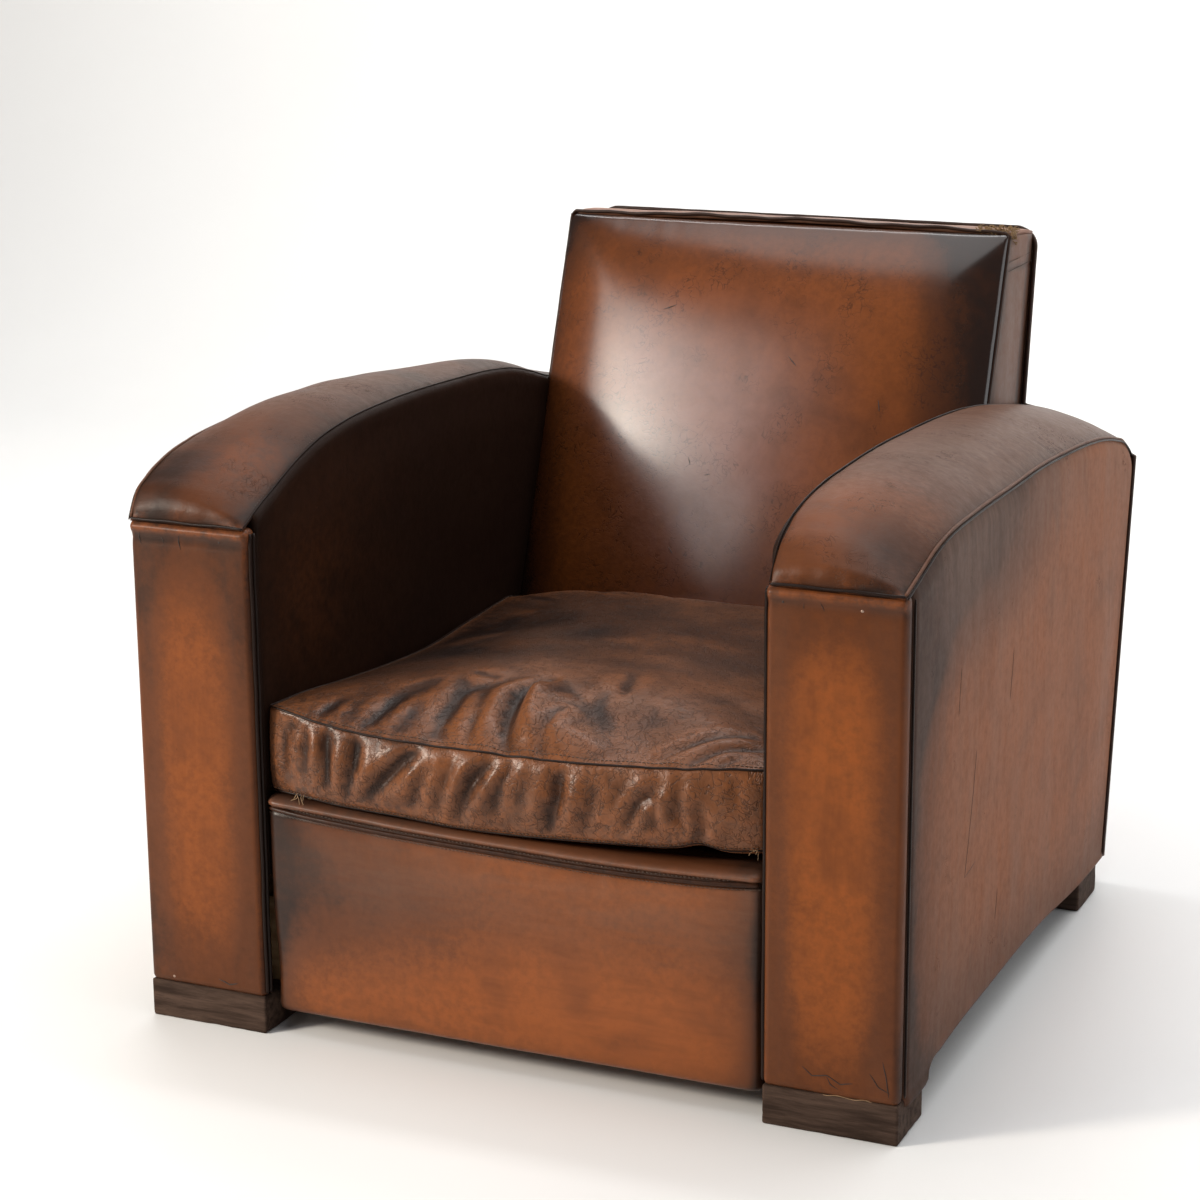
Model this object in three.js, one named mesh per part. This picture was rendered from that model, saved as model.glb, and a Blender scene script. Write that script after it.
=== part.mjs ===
// Worn leather club chair: a raked hardwood frame, webbed and sprung, under padded leather covers.
// Millimetres, +Z up. The chair faces -Y, and "right" is +X, as seen by someone facing the chair.
// The pieces are laid out from the front plane of the arms (y = 0), and the whole group is then
// moved so that its origin is on the floor, in the middle of its width and depth.

import * as THREE from 'three';

// ---- driving dimensions ------------------------------------------------------------------

const WIDTH = 800;
const GAP = 0.3;
const SEAM_GAP = 1.5;

const ARM_WIDTH = 135;
const ARM_OUT = WIDTH / 2;
const ARM_IN = ARM_OUT - ARM_WIDTH;
const ARM_FRONT_TOP = 523;
const ARM_FRONT_THICK = 18;
const ARM_SKIN = 6;
const ARM_PADDING = 19;

const FOOT_HEIGHT = 40;
const FOOT_DEPTH = 76;
const REAR_FOOT_START = 647;
const REAR_FOOT_WIDTH = 70;

const BACK_TOP = 736;
const BACK_TOP_REAR = 730;
const BACK_HALF = 265;
const BACK_CROWN = 45;
const BACK_BOW = 6;
const BACK_COVER = 16;
const BACK_COVER_LOW = 34;
const BACK_CORNER = 22;
const BACK_OVERLAP = 3;
const BORDER_SKIN = 4;
const BORDER_LOW = 300;

const FRAME_INSET = 21;
const STILE_DEPTH = 39;
const POST_DEPTH = 45;
const BOARD = 25;
const RAIL_LOW = 60;
const RAIL_HIGH = 130;
const RAIL_REAR = 800;
const BOTTOM_RAIL = { inner: 368, outer: 393, low: 54, high: 114 };
const BLOCK_LEG = 58;
const BLOCK_HEIGHT = 60;
const STILE_IN = 225;
const STILE_OUT = 259;
const BACK_RAIL_HIGH = 700;
const TOP_RAIL_HEIGHT = 45;
const LOWER_RAIL = [250, 300];

const APRON = { low: 22, high: 240, front: 10, rear: 44, bulge: 6, roll: 14 };
const INNER_PANEL_LOW = 165;
const DECK_FRONT = 46;
const DECK_TUCK = 40;
const DECK_LOW = 215.5;
const DECK_HIGH = 243;
const CUSHION_LOW = 244;
const CUSHION_SEAM = 330;
const CUSHION_FRONT = 9;
const CUSHION_REAR = 577;
const CUSHION_HALF = 263;
const CUSHION_SWELL = 22;
const CUSHION_EAR = 10;
const SOFT_EDGE = 3;

const STRAP_WIDTH = 50;
const STRAP_THICK = 1.2;
const SPRING_ROWS = [180, 370, 560];
const SPRING_COLUMNS = [-150, 0, 150];
const BACK_STRAPS = [-110, 110];
const BACK_BELT_LOW = 450;
const COVER = { half: 213, front: 134, rear: 636, end: 698, slope: 1.14, thick: 2 };
const DUST_LOW = 51.5;
const DUST_HIGH = 53;
const DUST_REAR = 690;

// ---- finishes ----------------------------------------------------------------------------

const finish = (color, roughness) => new THREE.MeshStandardMaterial({ color, roughness, metalness: 0 });

const leather = () => finish(0x6b3318, 0.38);
const cushionLeather = () => finish(0x54301d, 0.48);
const darkLeather = () => finish(0x2b1710, 0.5);
const footWood = () => finish(0x2a1812, 0.5);
const frameWood = () => finish(0xb58d5c, 0.75);
const webbing = () => finish(0x8c7550, 0.9);
const hessian = () => finish(0x9b8358, 0.95);
const blackCloth = () => finish(0x1f1c1a, 0.9);
const springSteel = () => new THREE.MeshStandardMaterial({ color: 0x7c756b, roughness: 0.4, metalness: 1 });

// ---- curves that several pieces share ------------------------------------------------------

const { lerp } = THREE.MathUtils;

// The rear face leans back from the floor to the top, and so does the front of the back.
const REAR_FOOT_LINE = 752.4;
const REAR_LEAN = 0.168;
const FRONT_SEAM_DEPTH = 766;
const FRONT_LEAN = 0.376;
const rearFace = (z) => REAR_FOOT_LINE + REAR_LEAN * z;
const backFront = (z) => FRONT_SEAM_DEPTH + FRONT_LEAN * (z - BACK_TOP);

// A smooth height profile through a few (y, z) points.
function smoothProfile(points) {
  const curve = new THREE.CubicInterpolant(points.map((p) => p[0]), points.map((p) => p[1]), 1);
  return (y) => curve.evaluate(y)[0];
}

// Straight segments through a few (y, z) points.
function straightProfile(points) {
  const curve = new THREE.LinearInterpolant(points.map((p) => p[0]), points.map((p) => p[1]), 1);
  return (y) => curve.evaluate(y)[0];
}

// The bowed arm: the seams on its inner and outer edges, and the crest of the pad between them.
const innerSeam = smoothProfile([
  [0, 524], [60, 555], [160, 587], [300, 597], [450, 592], [600, 577], [700, 556], [840, 530],
]);
const outerSeam = smoothProfile([
  [0, 523], [50, 538], [130, 550], [280, 556], [480, 549], [660, 535], [760, 514], [833, 469],
]);
const padCrest = smoothProfile([
  [0, 532], [20, 553], [60, 576], [160, 598], [300, 606], [450, 600], [600, 584], [700, 563], [840, 519],
]);
const sideHem = straightProfile([
  [18, 40.4], [86, 40.4], [110, 48], [330, 51], [560, 46], [640, 41], [800, 40.4],
]);

const acrossArm = (x) => (x - ARM_IN) / ARM_WIDTH;
const seamLine = (x, y) => lerp(innerSeam(y), outerSeam(y), acrossArm(x));

// Where the seam line at this distance across the arm meets the outside cover of the back, found
// by stepping towards it from a first guess.
function armRear(x) {
  let y = RAIL_REAR;
  for (let step = 0; step < 5; step += 1) {
    y = rearFace(seamLine(x, y)) - BACK_COVER - GAP;
  }
  return y;
}

// The top of the arm pad rises from the inner seam to its crest and rolls down to the outer seam.
const ROLL_POWER = 2.6;

function padTop(x, y) {
  const across = acrossArm(x);
  if (across < 0.5) {
    return lerp(innerSeam(y), padCrest(y), 1 - (1 - 2 * across) ** 2);
  }
  const roll = (1 - (2 * across - 1) ** ROLL_POWER) ** (1 / ROLL_POWER);
  return lerp(outerSeam(y), padCrest(y), roll);
}

// ---- making pieces -------------------------------------------------------------------------

const chair = new THREE.Group();

function addPiece(name, geometry, material) {
  const mesh = new THREE.Mesh(geometry, material);
  mesh.name = name;
  chair.add(mesh);
}

// A unit box with the given segments, with each point (u, v, w) in 0..1 moved to place(u, v, w).
function shapedBox([across, along, up], place) {
  const box = new THREE.BoxGeometry(1, 1, 1, across, along, up);
  const corner = box.attributes.position;
  for (let i = 0; i < corner.count; i += 1) {
    const unit = [corner.getX(i), corner.getY(i), corner.getZ(i)].map((value) => value + 0.5);
    corner.setXYZ(i, ...place(...unit));
  }
  box.computeVertexNormals();
  return box;
}

// The same shape on the other side of the chair, still facing outwards.
const mirrored = (place) => (u, v, w) => {
  const [x, y, z] = place(1 - u, v, w);
  return [-x, y, z];
};

function addPair(name, segments, place, material) {
  addPiece(`${name}_right`, shapedBox(segments, place), material());
  addPiece(`${name}_left`, shapedBox(segments, mirrored(place)), material());
}

// A plain block between two corners.
function block([x0, y0, z0], [x1, y1, z1]) {
  return (u, v, w) => [lerp(x0, x1, u), lerp(y0, y1, v), lerp(z0, z1, w)];
}

// A block that leans with the rear face: front and rear are distances in from that face.
const leaning = ([x0, x1], front, rear, [z0, z1]) => (u, v, w) => {
  const z = lerp(z0, z1, w);
  return [lerp(x0, x1, u), rearFace(z) - lerp(front, rear, v), z];
};

// 0 on the rim of a panel, rising to 1 over most of its middle.
const pillow = (u, v, power) => (1 - Math.abs(2 * u - 1) ** power) * (1 - Math.abs(2 * v - 1) ** power);

// ---- feet ----------------------------------------------------------------------------------

function addFeet() {
  const inset = 1;
  const outer = ARM_OUT - inset;
  const front = block([ARM_IN + inset, inset, 0], [outer, FOOT_DEPTH, FOOT_HEIGHT - GAP]);
  const rearStart = [outer - REAR_FOOT_WIDTH, REAR_FOOT_START, 0];
  const rear = block(rearStart, [outer, REAR_FOOT_START + FOOT_DEPTH, FOOT_HEIGHT - GAP]);
  addPair('foot_front', [1, 1, 1], front, footWood);
  addPair('foot_rear', [1, 1, 1], rear, footWood);
}

// ---- hardwood frame ------------------------------------------------------------------------

const POST_IN = ARM_IN + ARM_PADDING + 1;
const POST_OUT = 380;
const POST_FRONT = 24;
const POST_REAR = 70;
const SIDE_RAIL_IN = POST_IN + 5;
const ARM_RAIL_THICK = 20;
const POST_CLEAR = 7;
const REAR_POST_IN = 345;
const REAR_POST_OUT = 392;

const underArmRail = (x, y) => seamLine(x, y) - SEAM_GAP - ARM_RAIL_THICK;

function addArmFrames() {
  const frontPost = (u, v, w) => {
    const x = lerp(POST_IN, POST_OUT, u);
    const y = lerp(POST_FRONT, POST_REAR, v);
    return [x, y, lerp(FOOT_HEIGHT, underArmRail(x, y) - POST_CLEAR, w)];
  };
  const rearPost = (u, v, w) => {
    const x = lerp(REAR_POST_IN, REAR_POST_OUT, u);
    const z = lerp(FOOT_HEIGHT, underArmRail(x, RAIL_REAR) - POST_CLEAR, w);
    return [x, rearFace(z) - lerp(FRAME_INSET + POST_DEPTH, FRAME_INSET, v), z];
  };
  const armRail = (u, v, w) => {
    const x = lerp(POST_IN, REAR_POST_OUT, u);
    const y = lerp(POST_FRONT, RAIL_REAR, v);
    return [x, y, seamLine(x, y) - SEAM_GAP - lerp(ARM_RAIL_THICK, 0, w)];
  };
  const bottomRail = (u, v, w) => {
    const z = lerp(BOTTOM_RAIL.low, BOTTOM_RAIL.high, w);
    const rear = rearFace(z) - FRAME_INSET - POST_DEPTH - GAP;
    return [lerp(BOTTOM_RAIL.inner, BOTTOM_RAIL.outer, u), lerp(POST_REAR + GAP, rear, v), z];
  };
  addPair('arm_front_post', [1, 1, 1], frontPost, frameWood);
  addPair('arm_rear_post', [1, 1, 1], rearPost, frameWood);
  addPair('arm_rail', [2, 14, 1], armRail, frameWood);
  addPair('arm_bottom_rail', [1, 1, 1], bottomRail, frameWood);
}

function addSeatFrame() {
  const frontLow = [-POST_IN + GAP, POST_REAR - BOARD, FOOT_HEIGHT + 1];
  const frontRail = block(frontLow, [POST_IN - GAP, POST_REAR, RAIL_HIGH]);
  const rearSpan = [-REAR_POST_IN + GAP, REAR_POST_IN - GAP];
  const rearRail = leaning(rearSpan, FRAME_INSET + STILE_DEPTH, FRAME_INSET, [RAIL_LOW, RAIL_HIGH]);
  const sideRail = (u, v, w) => {
    const z = lerp(RAIL_LOW, RAIL_HIGH, w);
    const rear = rearFace(z) - FRAME_INSET - STILE_DEPTH - GAP;
    return [lerp(SIDE_RAIL_IN, SIDE_RAIL_IN + BOARD, u), lerp(POST_REAR + GAP, rear, v), z];
  };
  addPiece('seat_front_rail', shapedBox([1, 1, 1], frontRail), frameWood());
  addPiece('seat_rear_rail', shapedBox([1, 1, 1], rearRail), frameWood());
  addPair('seat_side_rail', [1, 1, 1], sideRail, frameWood);
}

// Glued triangular blocks brace the four corners of the seat frame.
function addCornerBlocks() {
  const rearRailFront = rearFace(RAIL_LOW) - FRAME_INSET - STILE_DEPTH;
  const corners = [
    ['front', POST_REAR + GAP, 1],
    ['rear', rearRailFront - GAP, -1],
  ];
  for (const [name, y, inwards] of corners) {
    for (const [side, sign] of [['right', 1], ['left', -1]]) {
      const x = sign * (SIDE_RAIL_IN - GAP);
      const outline = new THREE.Shape();
      outline.moveTo(x, y);
      outline.lineTo(x - sign * BLOCK_LEG, y);
      outline.lineTo(x, y + inwards * BLOCK_LEG);
      outline.closePath();
      const geometry = new THREE.ExtrudeGeometry(outline, { depth: BLOCK_HEIGHT, bevelEnabled: false });
      geometry.translate(0, 0, RAIL_LOW + 5);
      addPiece(`corner_block_${name}_${side}`, geometry, frameWood());
    }
  }
}

function addBackFrame() {
  const front = FRAME_INSET + STILE_DEPTH;
  const board = (span, heights) => leaning(span, front, FRAME_INSET, heights);
  const between = [-STILE_IN + GAP, STILE_IN - GAP];
  const topRail = [BACK_RAIL_HIGH - TOP_RAIL_HEIGHT, BACK_RAIL_HIGH];
  const stile = board([STILE_IN, STILE_OUT], [RAIL_HIGH + GAP, BACK_RAIL_HIGH]);
  addPair('back_stile', [1, 1, 1], stile, frameWood);
  addPiece('back_top_rail', shapedBox([1, 1, 1], board(between, topRail)), frameWood());
  addPiece('back_lower_rail', shapedBox([1, 1, 1], board(between, LOWER_RAIL)), frameWood());
}

// ---- webbing and springs -------------------------------------------------------------------

function addWebbing() {
  const half = STRAP_WIDTH / 2;
  const top = RAIL_LOW - GAP;
  const under = top - STRAP_THICK - GAP;
  const rear = rearFace(RAIL_LOW) - FRAME_INSET - 2;
  const reach = SIDE_RAIL_IN + BOARD;
  SPRING_ROWS.forEach((y, row) => {
    const strap = block([-reach, y - half, top - STRAP_THICK], [reach, y + half, top]);
    addPiece(`seat_webbing_across_${row + 1}`, shapedBox([1, 1, 1], strap), webbing());
  });
  SPRING_COLUMNS.forEach((x, column) => {
    const strap = block([x - half, POST_REAR + GAP, under - STRAP_THICK], [x + half, rear, under]);
    addPiece(`seat_webbing_along_${column + 1}`, shapedBox([1, 1, 1], strap), webbing());
  });
  const face = FRAME_INSET + STILE_DEPTH + GAP;
  const height = [LOWER_RAIL[0] + 2, BACK_RAIL_HIGH - 2];
  BACK_STRAPS.forEach((x, column) => {
    const strap = leaning([x - half, x + half], face + STRAP_THICK, face, height);
    addPiece(`back_webbing_upright_${column + 1}`, shapedBox([1, 1, 1], strap), webbing());
  });
  const outer = face + STRAP_THICK + GAP;
  const span = [2 - STILE_OUT, STILE_OUT - 2];
  const belt = leaning(span, outer + STRAP_THICK, outer, [BACK_BELT_LOW, BACK_BELT_LOW + STRAP_WIDTH]);
  addPiece('back_webbing_across', shapedBox([1, 1, 1], belt), webbing());
}

const WIRE_RADIUS = 2;
const WIRE_SIDES = 5;
const WIRE_TURNS = 4;
const STEPS_PER_TURN = 8;
const WAIST_RADIUS = 27;
const END_FLARE = 14;

// An hourglass coil of wire, wider at its two ends than at its waist.
class SpringWire extends THREE.Curve {
  constructor(low, high) {
    super();
    this.low = low;
    this.high = high;
  }

  getPoint(t, target = new THREE.Vector3()) {
    const radius = WAIST_RADIUS + END_FLARE * (2 * t - 1) ** 2;
    const turn = 2 * Math.PI * WIRE_TURNS * t;
    return target.set(radius * Math.cos(turn), radius * Math.sin(turn), lerp(this.low, this.high, t));
  }
}

function addSprings() {
  const section = new THREE.Shape();
  for (let side = 0; side < WIRE_SIDES; side += 1) {
    const angle = (2 * Math.PI * side) / WIRE_SIDES;
    const point = [WIRE_RADIUS * Math.cos(angle), WIRE_RADIUS * Math.sin(angle)];
    if (side === 0) {
      section.moveTo(...point);
    } else {
      section.lineTo(...point);
    }
  }
  section.closePath();
  const clear = WIRE_RADIUS + 1;
  const wire = new SpringWire(RAIL_LOW + clear, DECK_LOW - 3 - clear);
  let number = 0;
  for (const y of SPRING_ROWS) {
    for (const x of SPRING_COLUMNS) {
      const steps = WIRE_TURNS * STEPS_PER_TURN;
      const geometry = new THREE.ExtrudeGeometry(section, { steps, bevelEnabled: false, extrudePath: wire });
      geometry.translate(x, y, 0);
      number += 1;
      addPiece(`seat_spring_${number}`, geometry, springSteel());
    }
  }
}

// ---- seat: hessian over the springs, stuffed deck, loose cushion, front apron ---------------

// The hessian lies over the springs and slopes down from them to its tacked rim.
function addSpringCover() {
  const top = DECK_LOW - 0.5;
  const half = SIDE_RAIL_IN - 6;
  const cover = (u, v, w) => {
    const x = lerp(-half, half, u);
    const y = lerp(POST_REAR + 2, COVER.end, v);
    const rim = Math.max(Math.abs(x) - COVER.half, COVER.front - y, y - COVER.rear, 0);
    return [x, y, top - lerp(COVER.thick, 0, w) - COVER.slope * rim];
  };
  addPiece('spring_cover', shapedBox([8, 10, 1], cover), hessian());
}

function addDeck() {
  const half = ARM_IN - GAP;
  const front = [-half, DECK_FRONT, DECK_LOW];
  const deck = block(front, [half, backFront(DECK_HIGH) + DECK_TUCK, DECK_HIGH]);
  addPiece('seat_deck', shapedBox([1, 1, 1], deck), darkLeather());
}

// The loose cushion is crowned, pinched in at its seams, and higher at its left and right edges.
function addCushion() {
  const cushion = (u, v, w) => {
    const swell = pillow(u, v, 3);
    const low = CUSHION_LOW + SOFT_EDGE * (1 - swell);
    const high = CUSHION_SEAM + CUSHION_EAR * Math.abs(2 * u - 1) + CUSHION_SWELL * swell;
    const pinch = SOFT_EDGE * Math.abs(2 * w - 1);
    const half = CUSHION_HALF - pinch;
    return [lerp(-half, half, u), lerp(CUSHION_FRONT + pinch, CUSHION_REAR - pinch, v), lerp(low, high, w)];
  };
  addPiece('seat_cushion', shapedBox([8, 8, 2], cushion), cushionLeather());
}

// The apron bulges a little, and its top edge rolls back under the cushion.
function addApron() {
  const half = ARM_IN - 2;
  const apron = (u, v, w) => {
    const bulge = APRON.bulge * pillow(u, w, 3);
    const roll = APRON.roll * Math.max(0, 2 * w - 1) ** 6;
    const front = APRON.front + roll - bulge;
    return [lerp(-half, half, u), lerp(front, APRON.rear, v), lerp(APRON.low, APRON.high, w)];
  };
  addPiece('seat_front_apron', shapedBox([6, 1, 8], apron), leather());
}

function addDustCover() {
  const half = ARM_OUT - ARM_SKIN - 2;
  const dust = block([-half, POST_REAR + 2, DUST_LOW], [half, DUST_REAR, DUST_HIGH]);
  addPiece('dust_cover', shapedBox([1, 1, 1], dust), blackCloth());
}

// ---- arms: front facing, outer skin, padded inner face, padded top --------------------------

function addArmCovers() {
  const facing = (u, v, w) => {
    const front = SOFT_EDGE * (1 - pillow(u, w, 8));
    const x = lerp(ARM_IN + GAP, ARM_OUT, u);
    return [x, lerp(front, ARM_FRONT_THICK, v), lerp(FOOT_HEIGHT + GAP, ARM_FRONT_TOP - GAP, w)];
  };
  const skinStart = ARM_FRONT_THICK + GAP;
  const wall = (x, y, v, low, w) => {
    const high = seamLine(x, y) - SEAM_GAP;
    const z = lerp(low, high, w);
    return [x, y - v * REAR_LEAN * (high - z), z];
  };
  const skin = (u, v, w) => {
    const y = lerp(skinStart, armRear(ARM_OUT), v);
    return wall(lerp(ARM_OUT - ARM_SKIN, ARM_OUT, u), y, v, sideHem(y), w);
  };
  const inner = (u, v, w) => {
    const y = lerp(skinStart, armRear(ARM_IN) - 5, v);
    return wall(lerp(ARM_IN, ARM_IN + ARM_PADDING, u), y, v, INNER_PANEL_LOW, w);
  };
  const pad = (u, v, w) => {
    const x = lerp(ARM_IN, ARM_OUT, u);
    const y = lerp(0, armRear(x), v);
    return [x, y, GAP + lerp(seamLine(x, y), padTop(x, y), w)];
  };
  addPair('arm_front_panel', [6, 1, 10], facing, leather);
  addPair('arm_side_panel', [1, 24, 2], skin, leather);
  addPair('arm_inner_panel', [1, 24, 2], inner, leather);
  addPair('arm_pad', [8, 24, 1], pad, leather);
}

// ---- back: crowned pad, border strips, outside cover ----------------------------------------

function addBack() {
  const padHalf = BACK_HALF - BORDER_SKIN - GAP;
  const padLow = DECK_HIGH + 1;
  const padHigh = BACK_TOP - BORDER_SKIN - SOFT_EDGE;
  const pad = (u, v, w) => {
    const z = lerp(padLow, padHigh, w);
    const crown = BACK_CROWN * pillow(u, w, 2.6);
    const rear = rearFace(z) - FRAME_INSET - STILE_DEPTH - 4;
    return [lerp(-padHalf, padHalf, u), lerp(backFront(z) - crown, rear, v), z];
  };
  addPiece('back_pad', shapedBox([8, 1, 10], pad), leather());

  const strip = (u, v, w) => {
    const z = lerp(BORDER_LOW, BACK_TOP_REAR - BORDER_SKIN - 2, w);
    const x = lerp(BACK_HALF - BORDER_SKIN, BACK_HALF - GAP, u);
    return [x, lerp(backFront(z), rearFace(z) - BACK_COVER - GAP, v), z];
  };
  addPair('back_border_side', [1, 1, 1], strip, leather);

  const topStrip = (u, v, w) => {
    const high = lerp(BACK_TOP + BACK_BOW * (1 - (2 * u - 1) ** 2), BACK_TOP_REAR, v);
    const z = high - lerp(BORDER_SKIN, 0, w);
    return [lerp(-BACK_HALF, BACK_HALF, u), lerp(backFront(BACK_TOP), rearFace(z) - BACK_COVER - GAP, v), z];
  };
  addPiece('back_border_top', shapedBox([8, 1, 1], topStrip), leather());
}

const SHOULDER_STEPS = 10;

// The outside cover is one panel: as wide as the chair up to the arms, then as wide as the back.
function addOutsideBack() {
  const neck = BACK_HALF + BACK_OVERLAP;
  const bend = neck - BACK_CORNER;
  const shoulder = [];
  for (let step = 0; step <= SHOULDER_STEPS; step += 1) {
    const x = lerp(ARM_OUT, neck, step / SHOULDER_STEPS);
    shoulder.push([x, padTop(x, armRear(x))]);
  }
  const outline = new THREE.Shape();
  outline.moveTo(-ARM_OUT, BACK_COVER_LOW);
  outline.lineTo(ARM_OUT, BACK_COVER_LOW);
  shoulder.forEach(([x, z]) => outline.lineTo(x, z));
  outline.lineTo(neck, BACK_TOP_REAR - BACK_CORNER);
  outline.quadraticCurveTo(neck, BACK_TOP_REAR, bend, BACK_TOP_REAR);
  outline.lineTo(-bend, BACK_TOP_REAR);
  outline.quadraticCurveTo(-neck, BACK_TOP_REAR, -neck, BACK_TOP_REAR - BACK_CORNER);
  shoulder.reverse().forEach(([x, z]) => outline.lineTo(-x, z));
  outline.closePath();
  const options = { depth: BACK_COVER, bevelEnabled: false, curveSegments: 6 };
  const geometry = new THREE.ExtrudeGeometry(outline, options);
  geometry.rotateX(Math.PI / 2);
  const corners = geometry.attributes.position;
  for (let i = 0; i < corners.count; i += 1) {
    const z = corners.getZ(i);
    corners.setY(i, corners.getY(i) + rearFace(z));
  }
  geometry.computeVertexNormals();
  addPiece('outside_back_panel', geometry, leather());
}

addFeet();
addArmFrames();
addSeatFrame();
addCornerBlocks();
addBackFrame();
addWebbing();
addSprings();
addSpringCover();
addDeck();
addCushion();
addApron();
addDustCover();
addArmCovers();
addBack();
addOutsideBack();
chair.position.y = -rearFace(BACK_TOP_REAR) / 2;

export default chair;
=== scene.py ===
"""Builds the looks of a worn leather club chair around its packed frame, and the studio it stands in."""

import math

import bpy
import numpy as np
from mathutils import Matrix, Vector
from mathutils.bvhtree import BVHTree


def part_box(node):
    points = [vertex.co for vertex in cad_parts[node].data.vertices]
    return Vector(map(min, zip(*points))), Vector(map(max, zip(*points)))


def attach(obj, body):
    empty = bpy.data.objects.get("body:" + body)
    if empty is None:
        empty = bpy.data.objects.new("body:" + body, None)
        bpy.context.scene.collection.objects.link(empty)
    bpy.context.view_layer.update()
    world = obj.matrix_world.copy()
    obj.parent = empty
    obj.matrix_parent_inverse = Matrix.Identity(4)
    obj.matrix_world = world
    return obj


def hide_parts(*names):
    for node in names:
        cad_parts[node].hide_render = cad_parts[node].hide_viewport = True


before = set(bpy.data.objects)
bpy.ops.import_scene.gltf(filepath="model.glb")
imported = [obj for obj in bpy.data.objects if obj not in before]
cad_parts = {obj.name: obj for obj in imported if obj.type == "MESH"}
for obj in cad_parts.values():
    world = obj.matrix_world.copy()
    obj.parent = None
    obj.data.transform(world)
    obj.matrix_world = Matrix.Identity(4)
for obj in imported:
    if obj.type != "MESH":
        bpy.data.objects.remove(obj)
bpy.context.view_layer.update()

bl_info = {
    "name": "Worn Club Chair",
    "version": (1, 0, 0),
    "blender": (4, 5, 0),
    "location": "View3D > Sidebar > Club Chair",
    "description": "Leather covers, seams and feet of a worn club chair, and its studio",
    "category": "Object",
}

# ---- sizes ---------------------------------------------------------------------------------
# The chair's lengths are in millimetres until make_piece, except RAY_START and CASE_MOVE. The studio's are in
# metres. Depth is measured back from the front of the arms. A name that ends in _run is a distance in from an
# edge, and the bare numbers of a cover's formulas are places, widths and heights on that cover.

MM = 0.001
BODY = "root"


def box_mm(node):
    low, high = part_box(node)
    return np.array(low) / MM, np.array(high) / MM


FRONT_Y = box_mm("arm_front_panel_right")[0][1]
ARM_IN = box_mm("arm_pad_right")[0][0]
ARM_OUT = box_mm("arm_pad_right")[1][0]
FOOT_TOP = box_mm("foot_front_right")[1][2]
FACING_TOP = box_mm("arm_front_panel_right")[1][2]
FACING_THICK = box_mm("arm_front_panel_right")[1][1] - FRONT_Y
BACK_HALF = box_mm("back_border_top")[1][0]
BACK_TOP = box_mm("back_border_side_right")[1][2] + 12
REAR_TOP = box_mm("outside_back_panel")[1][2]
CUSHION_HALF = box_mm("seat_cushion")[1][0]
CUSHION_LOW = box_mm("seat_cushion")[0][2]
CUSHION_DEPTH = box_mm("seat_cushion")[1][1] - FRONT_Y
REAR_COVER = 16
COVER_GAP = 0.4
BORDER_SEAM_DROP = 36
PIPE_SIDES, THREAD_SIDES = 8, 5
PIPE_STEP = 4
RAY_START = 0.12


# ---- small numeric helpers -------------------------------------------------------------------


def smooth_profile(points):
    """A smooth curve through a few (position, height) points, held level beyond both ends."""
    at, high = np.array(points, float).T
    slope = np.gradient(high, at)

    def height(position):
        x = np.clip(position, at[0], at[-1])
        i = np.clip(np.searchsorted(at, x) - 1, 0, len(at) - 2)
        step = at[i + 1] - at[i]
        t = (x - at[i]) / step
        start = (2 * t**3 - 3 * t**2 + 1) * high[i] + (t**3 - 2 * t**2 + t) * step * slope[i]
        end = (3 * t**2 - 2 * t**3) * high[i + 1] + (t**3 - t**2) * step * slope[i + 1]
        return start + end

    return height


def lerp(a, b, t):
    return a + (b - a) * t


def ease(value, low, high):
    """0 below low, 1 above high, smooth between them. Works with low above high too."""
    t = np.clip((value - low) / (high - low), 0, 1)
    return t * t * (3 - 2 * t)


def bump(value, centre, width):
    """A soft hump of height 1."""
    return np.exp(-(((value - centre) / width) ** 2))


def tuck(distance, reach):
    """1 at a seam, falling to 0 at reach away from it."""
    return (1 - np.clip(distance / reach, 0, 1)) ** 2


def lumps(points, size, seed=0):
    """Smooth random lumps in -1..1. Size is one number, or one for each axis."""
    spot = np.asarray(points, float) / size + seed * 7.31
    cell = np.floor(spot).astype(np.int64)
    part = spot - cell
    soft = part * part * (3 - 2 * part)
    total = np.zeros(len(spot))
    for corner in np.ndindex(2, 2, 2):
        key = (cell + corner) @ np.array([73856093, 19349663, 83492791]) + seed * 2654435761
        key = (key ^ (key >> 13)) * 1274126177 & 0x7FFFFFFF
        key = (key ^ (key >> 15)) * 2246822519 & 0x7FFFFFFF
        value = ((key >> 7) & 0xFFFF) / 32767.5 - 1
        total += value * np.prod(np.where(corner, soft, 1 - soft), axis=1)
    return total


def rough(points, size, octaves, seed=0):
    """Several sizes of lumps added together, each half as big and half as high as the last."""
    total = np.zeros(len(points))
    for octave in range(octaves):
        total += lumps(points, np.asarray(size) / 2**octave, seed + octave) / 2**octave
    return total


def graded(length, edge, fine, coarse):
    """Fractions along a length, in fine steps near its ends and coarse steps between."""
    near = np.linspace(0, edge, max(2, round(edge / fine)) + 1)
    middle = np.linspace(edge, length - edge, max(2, round((length - 2 * edge) / coarse)) + 1)
    return np.concatenate([near, middle[1:-1], length - near[::-1]]) / length


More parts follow.
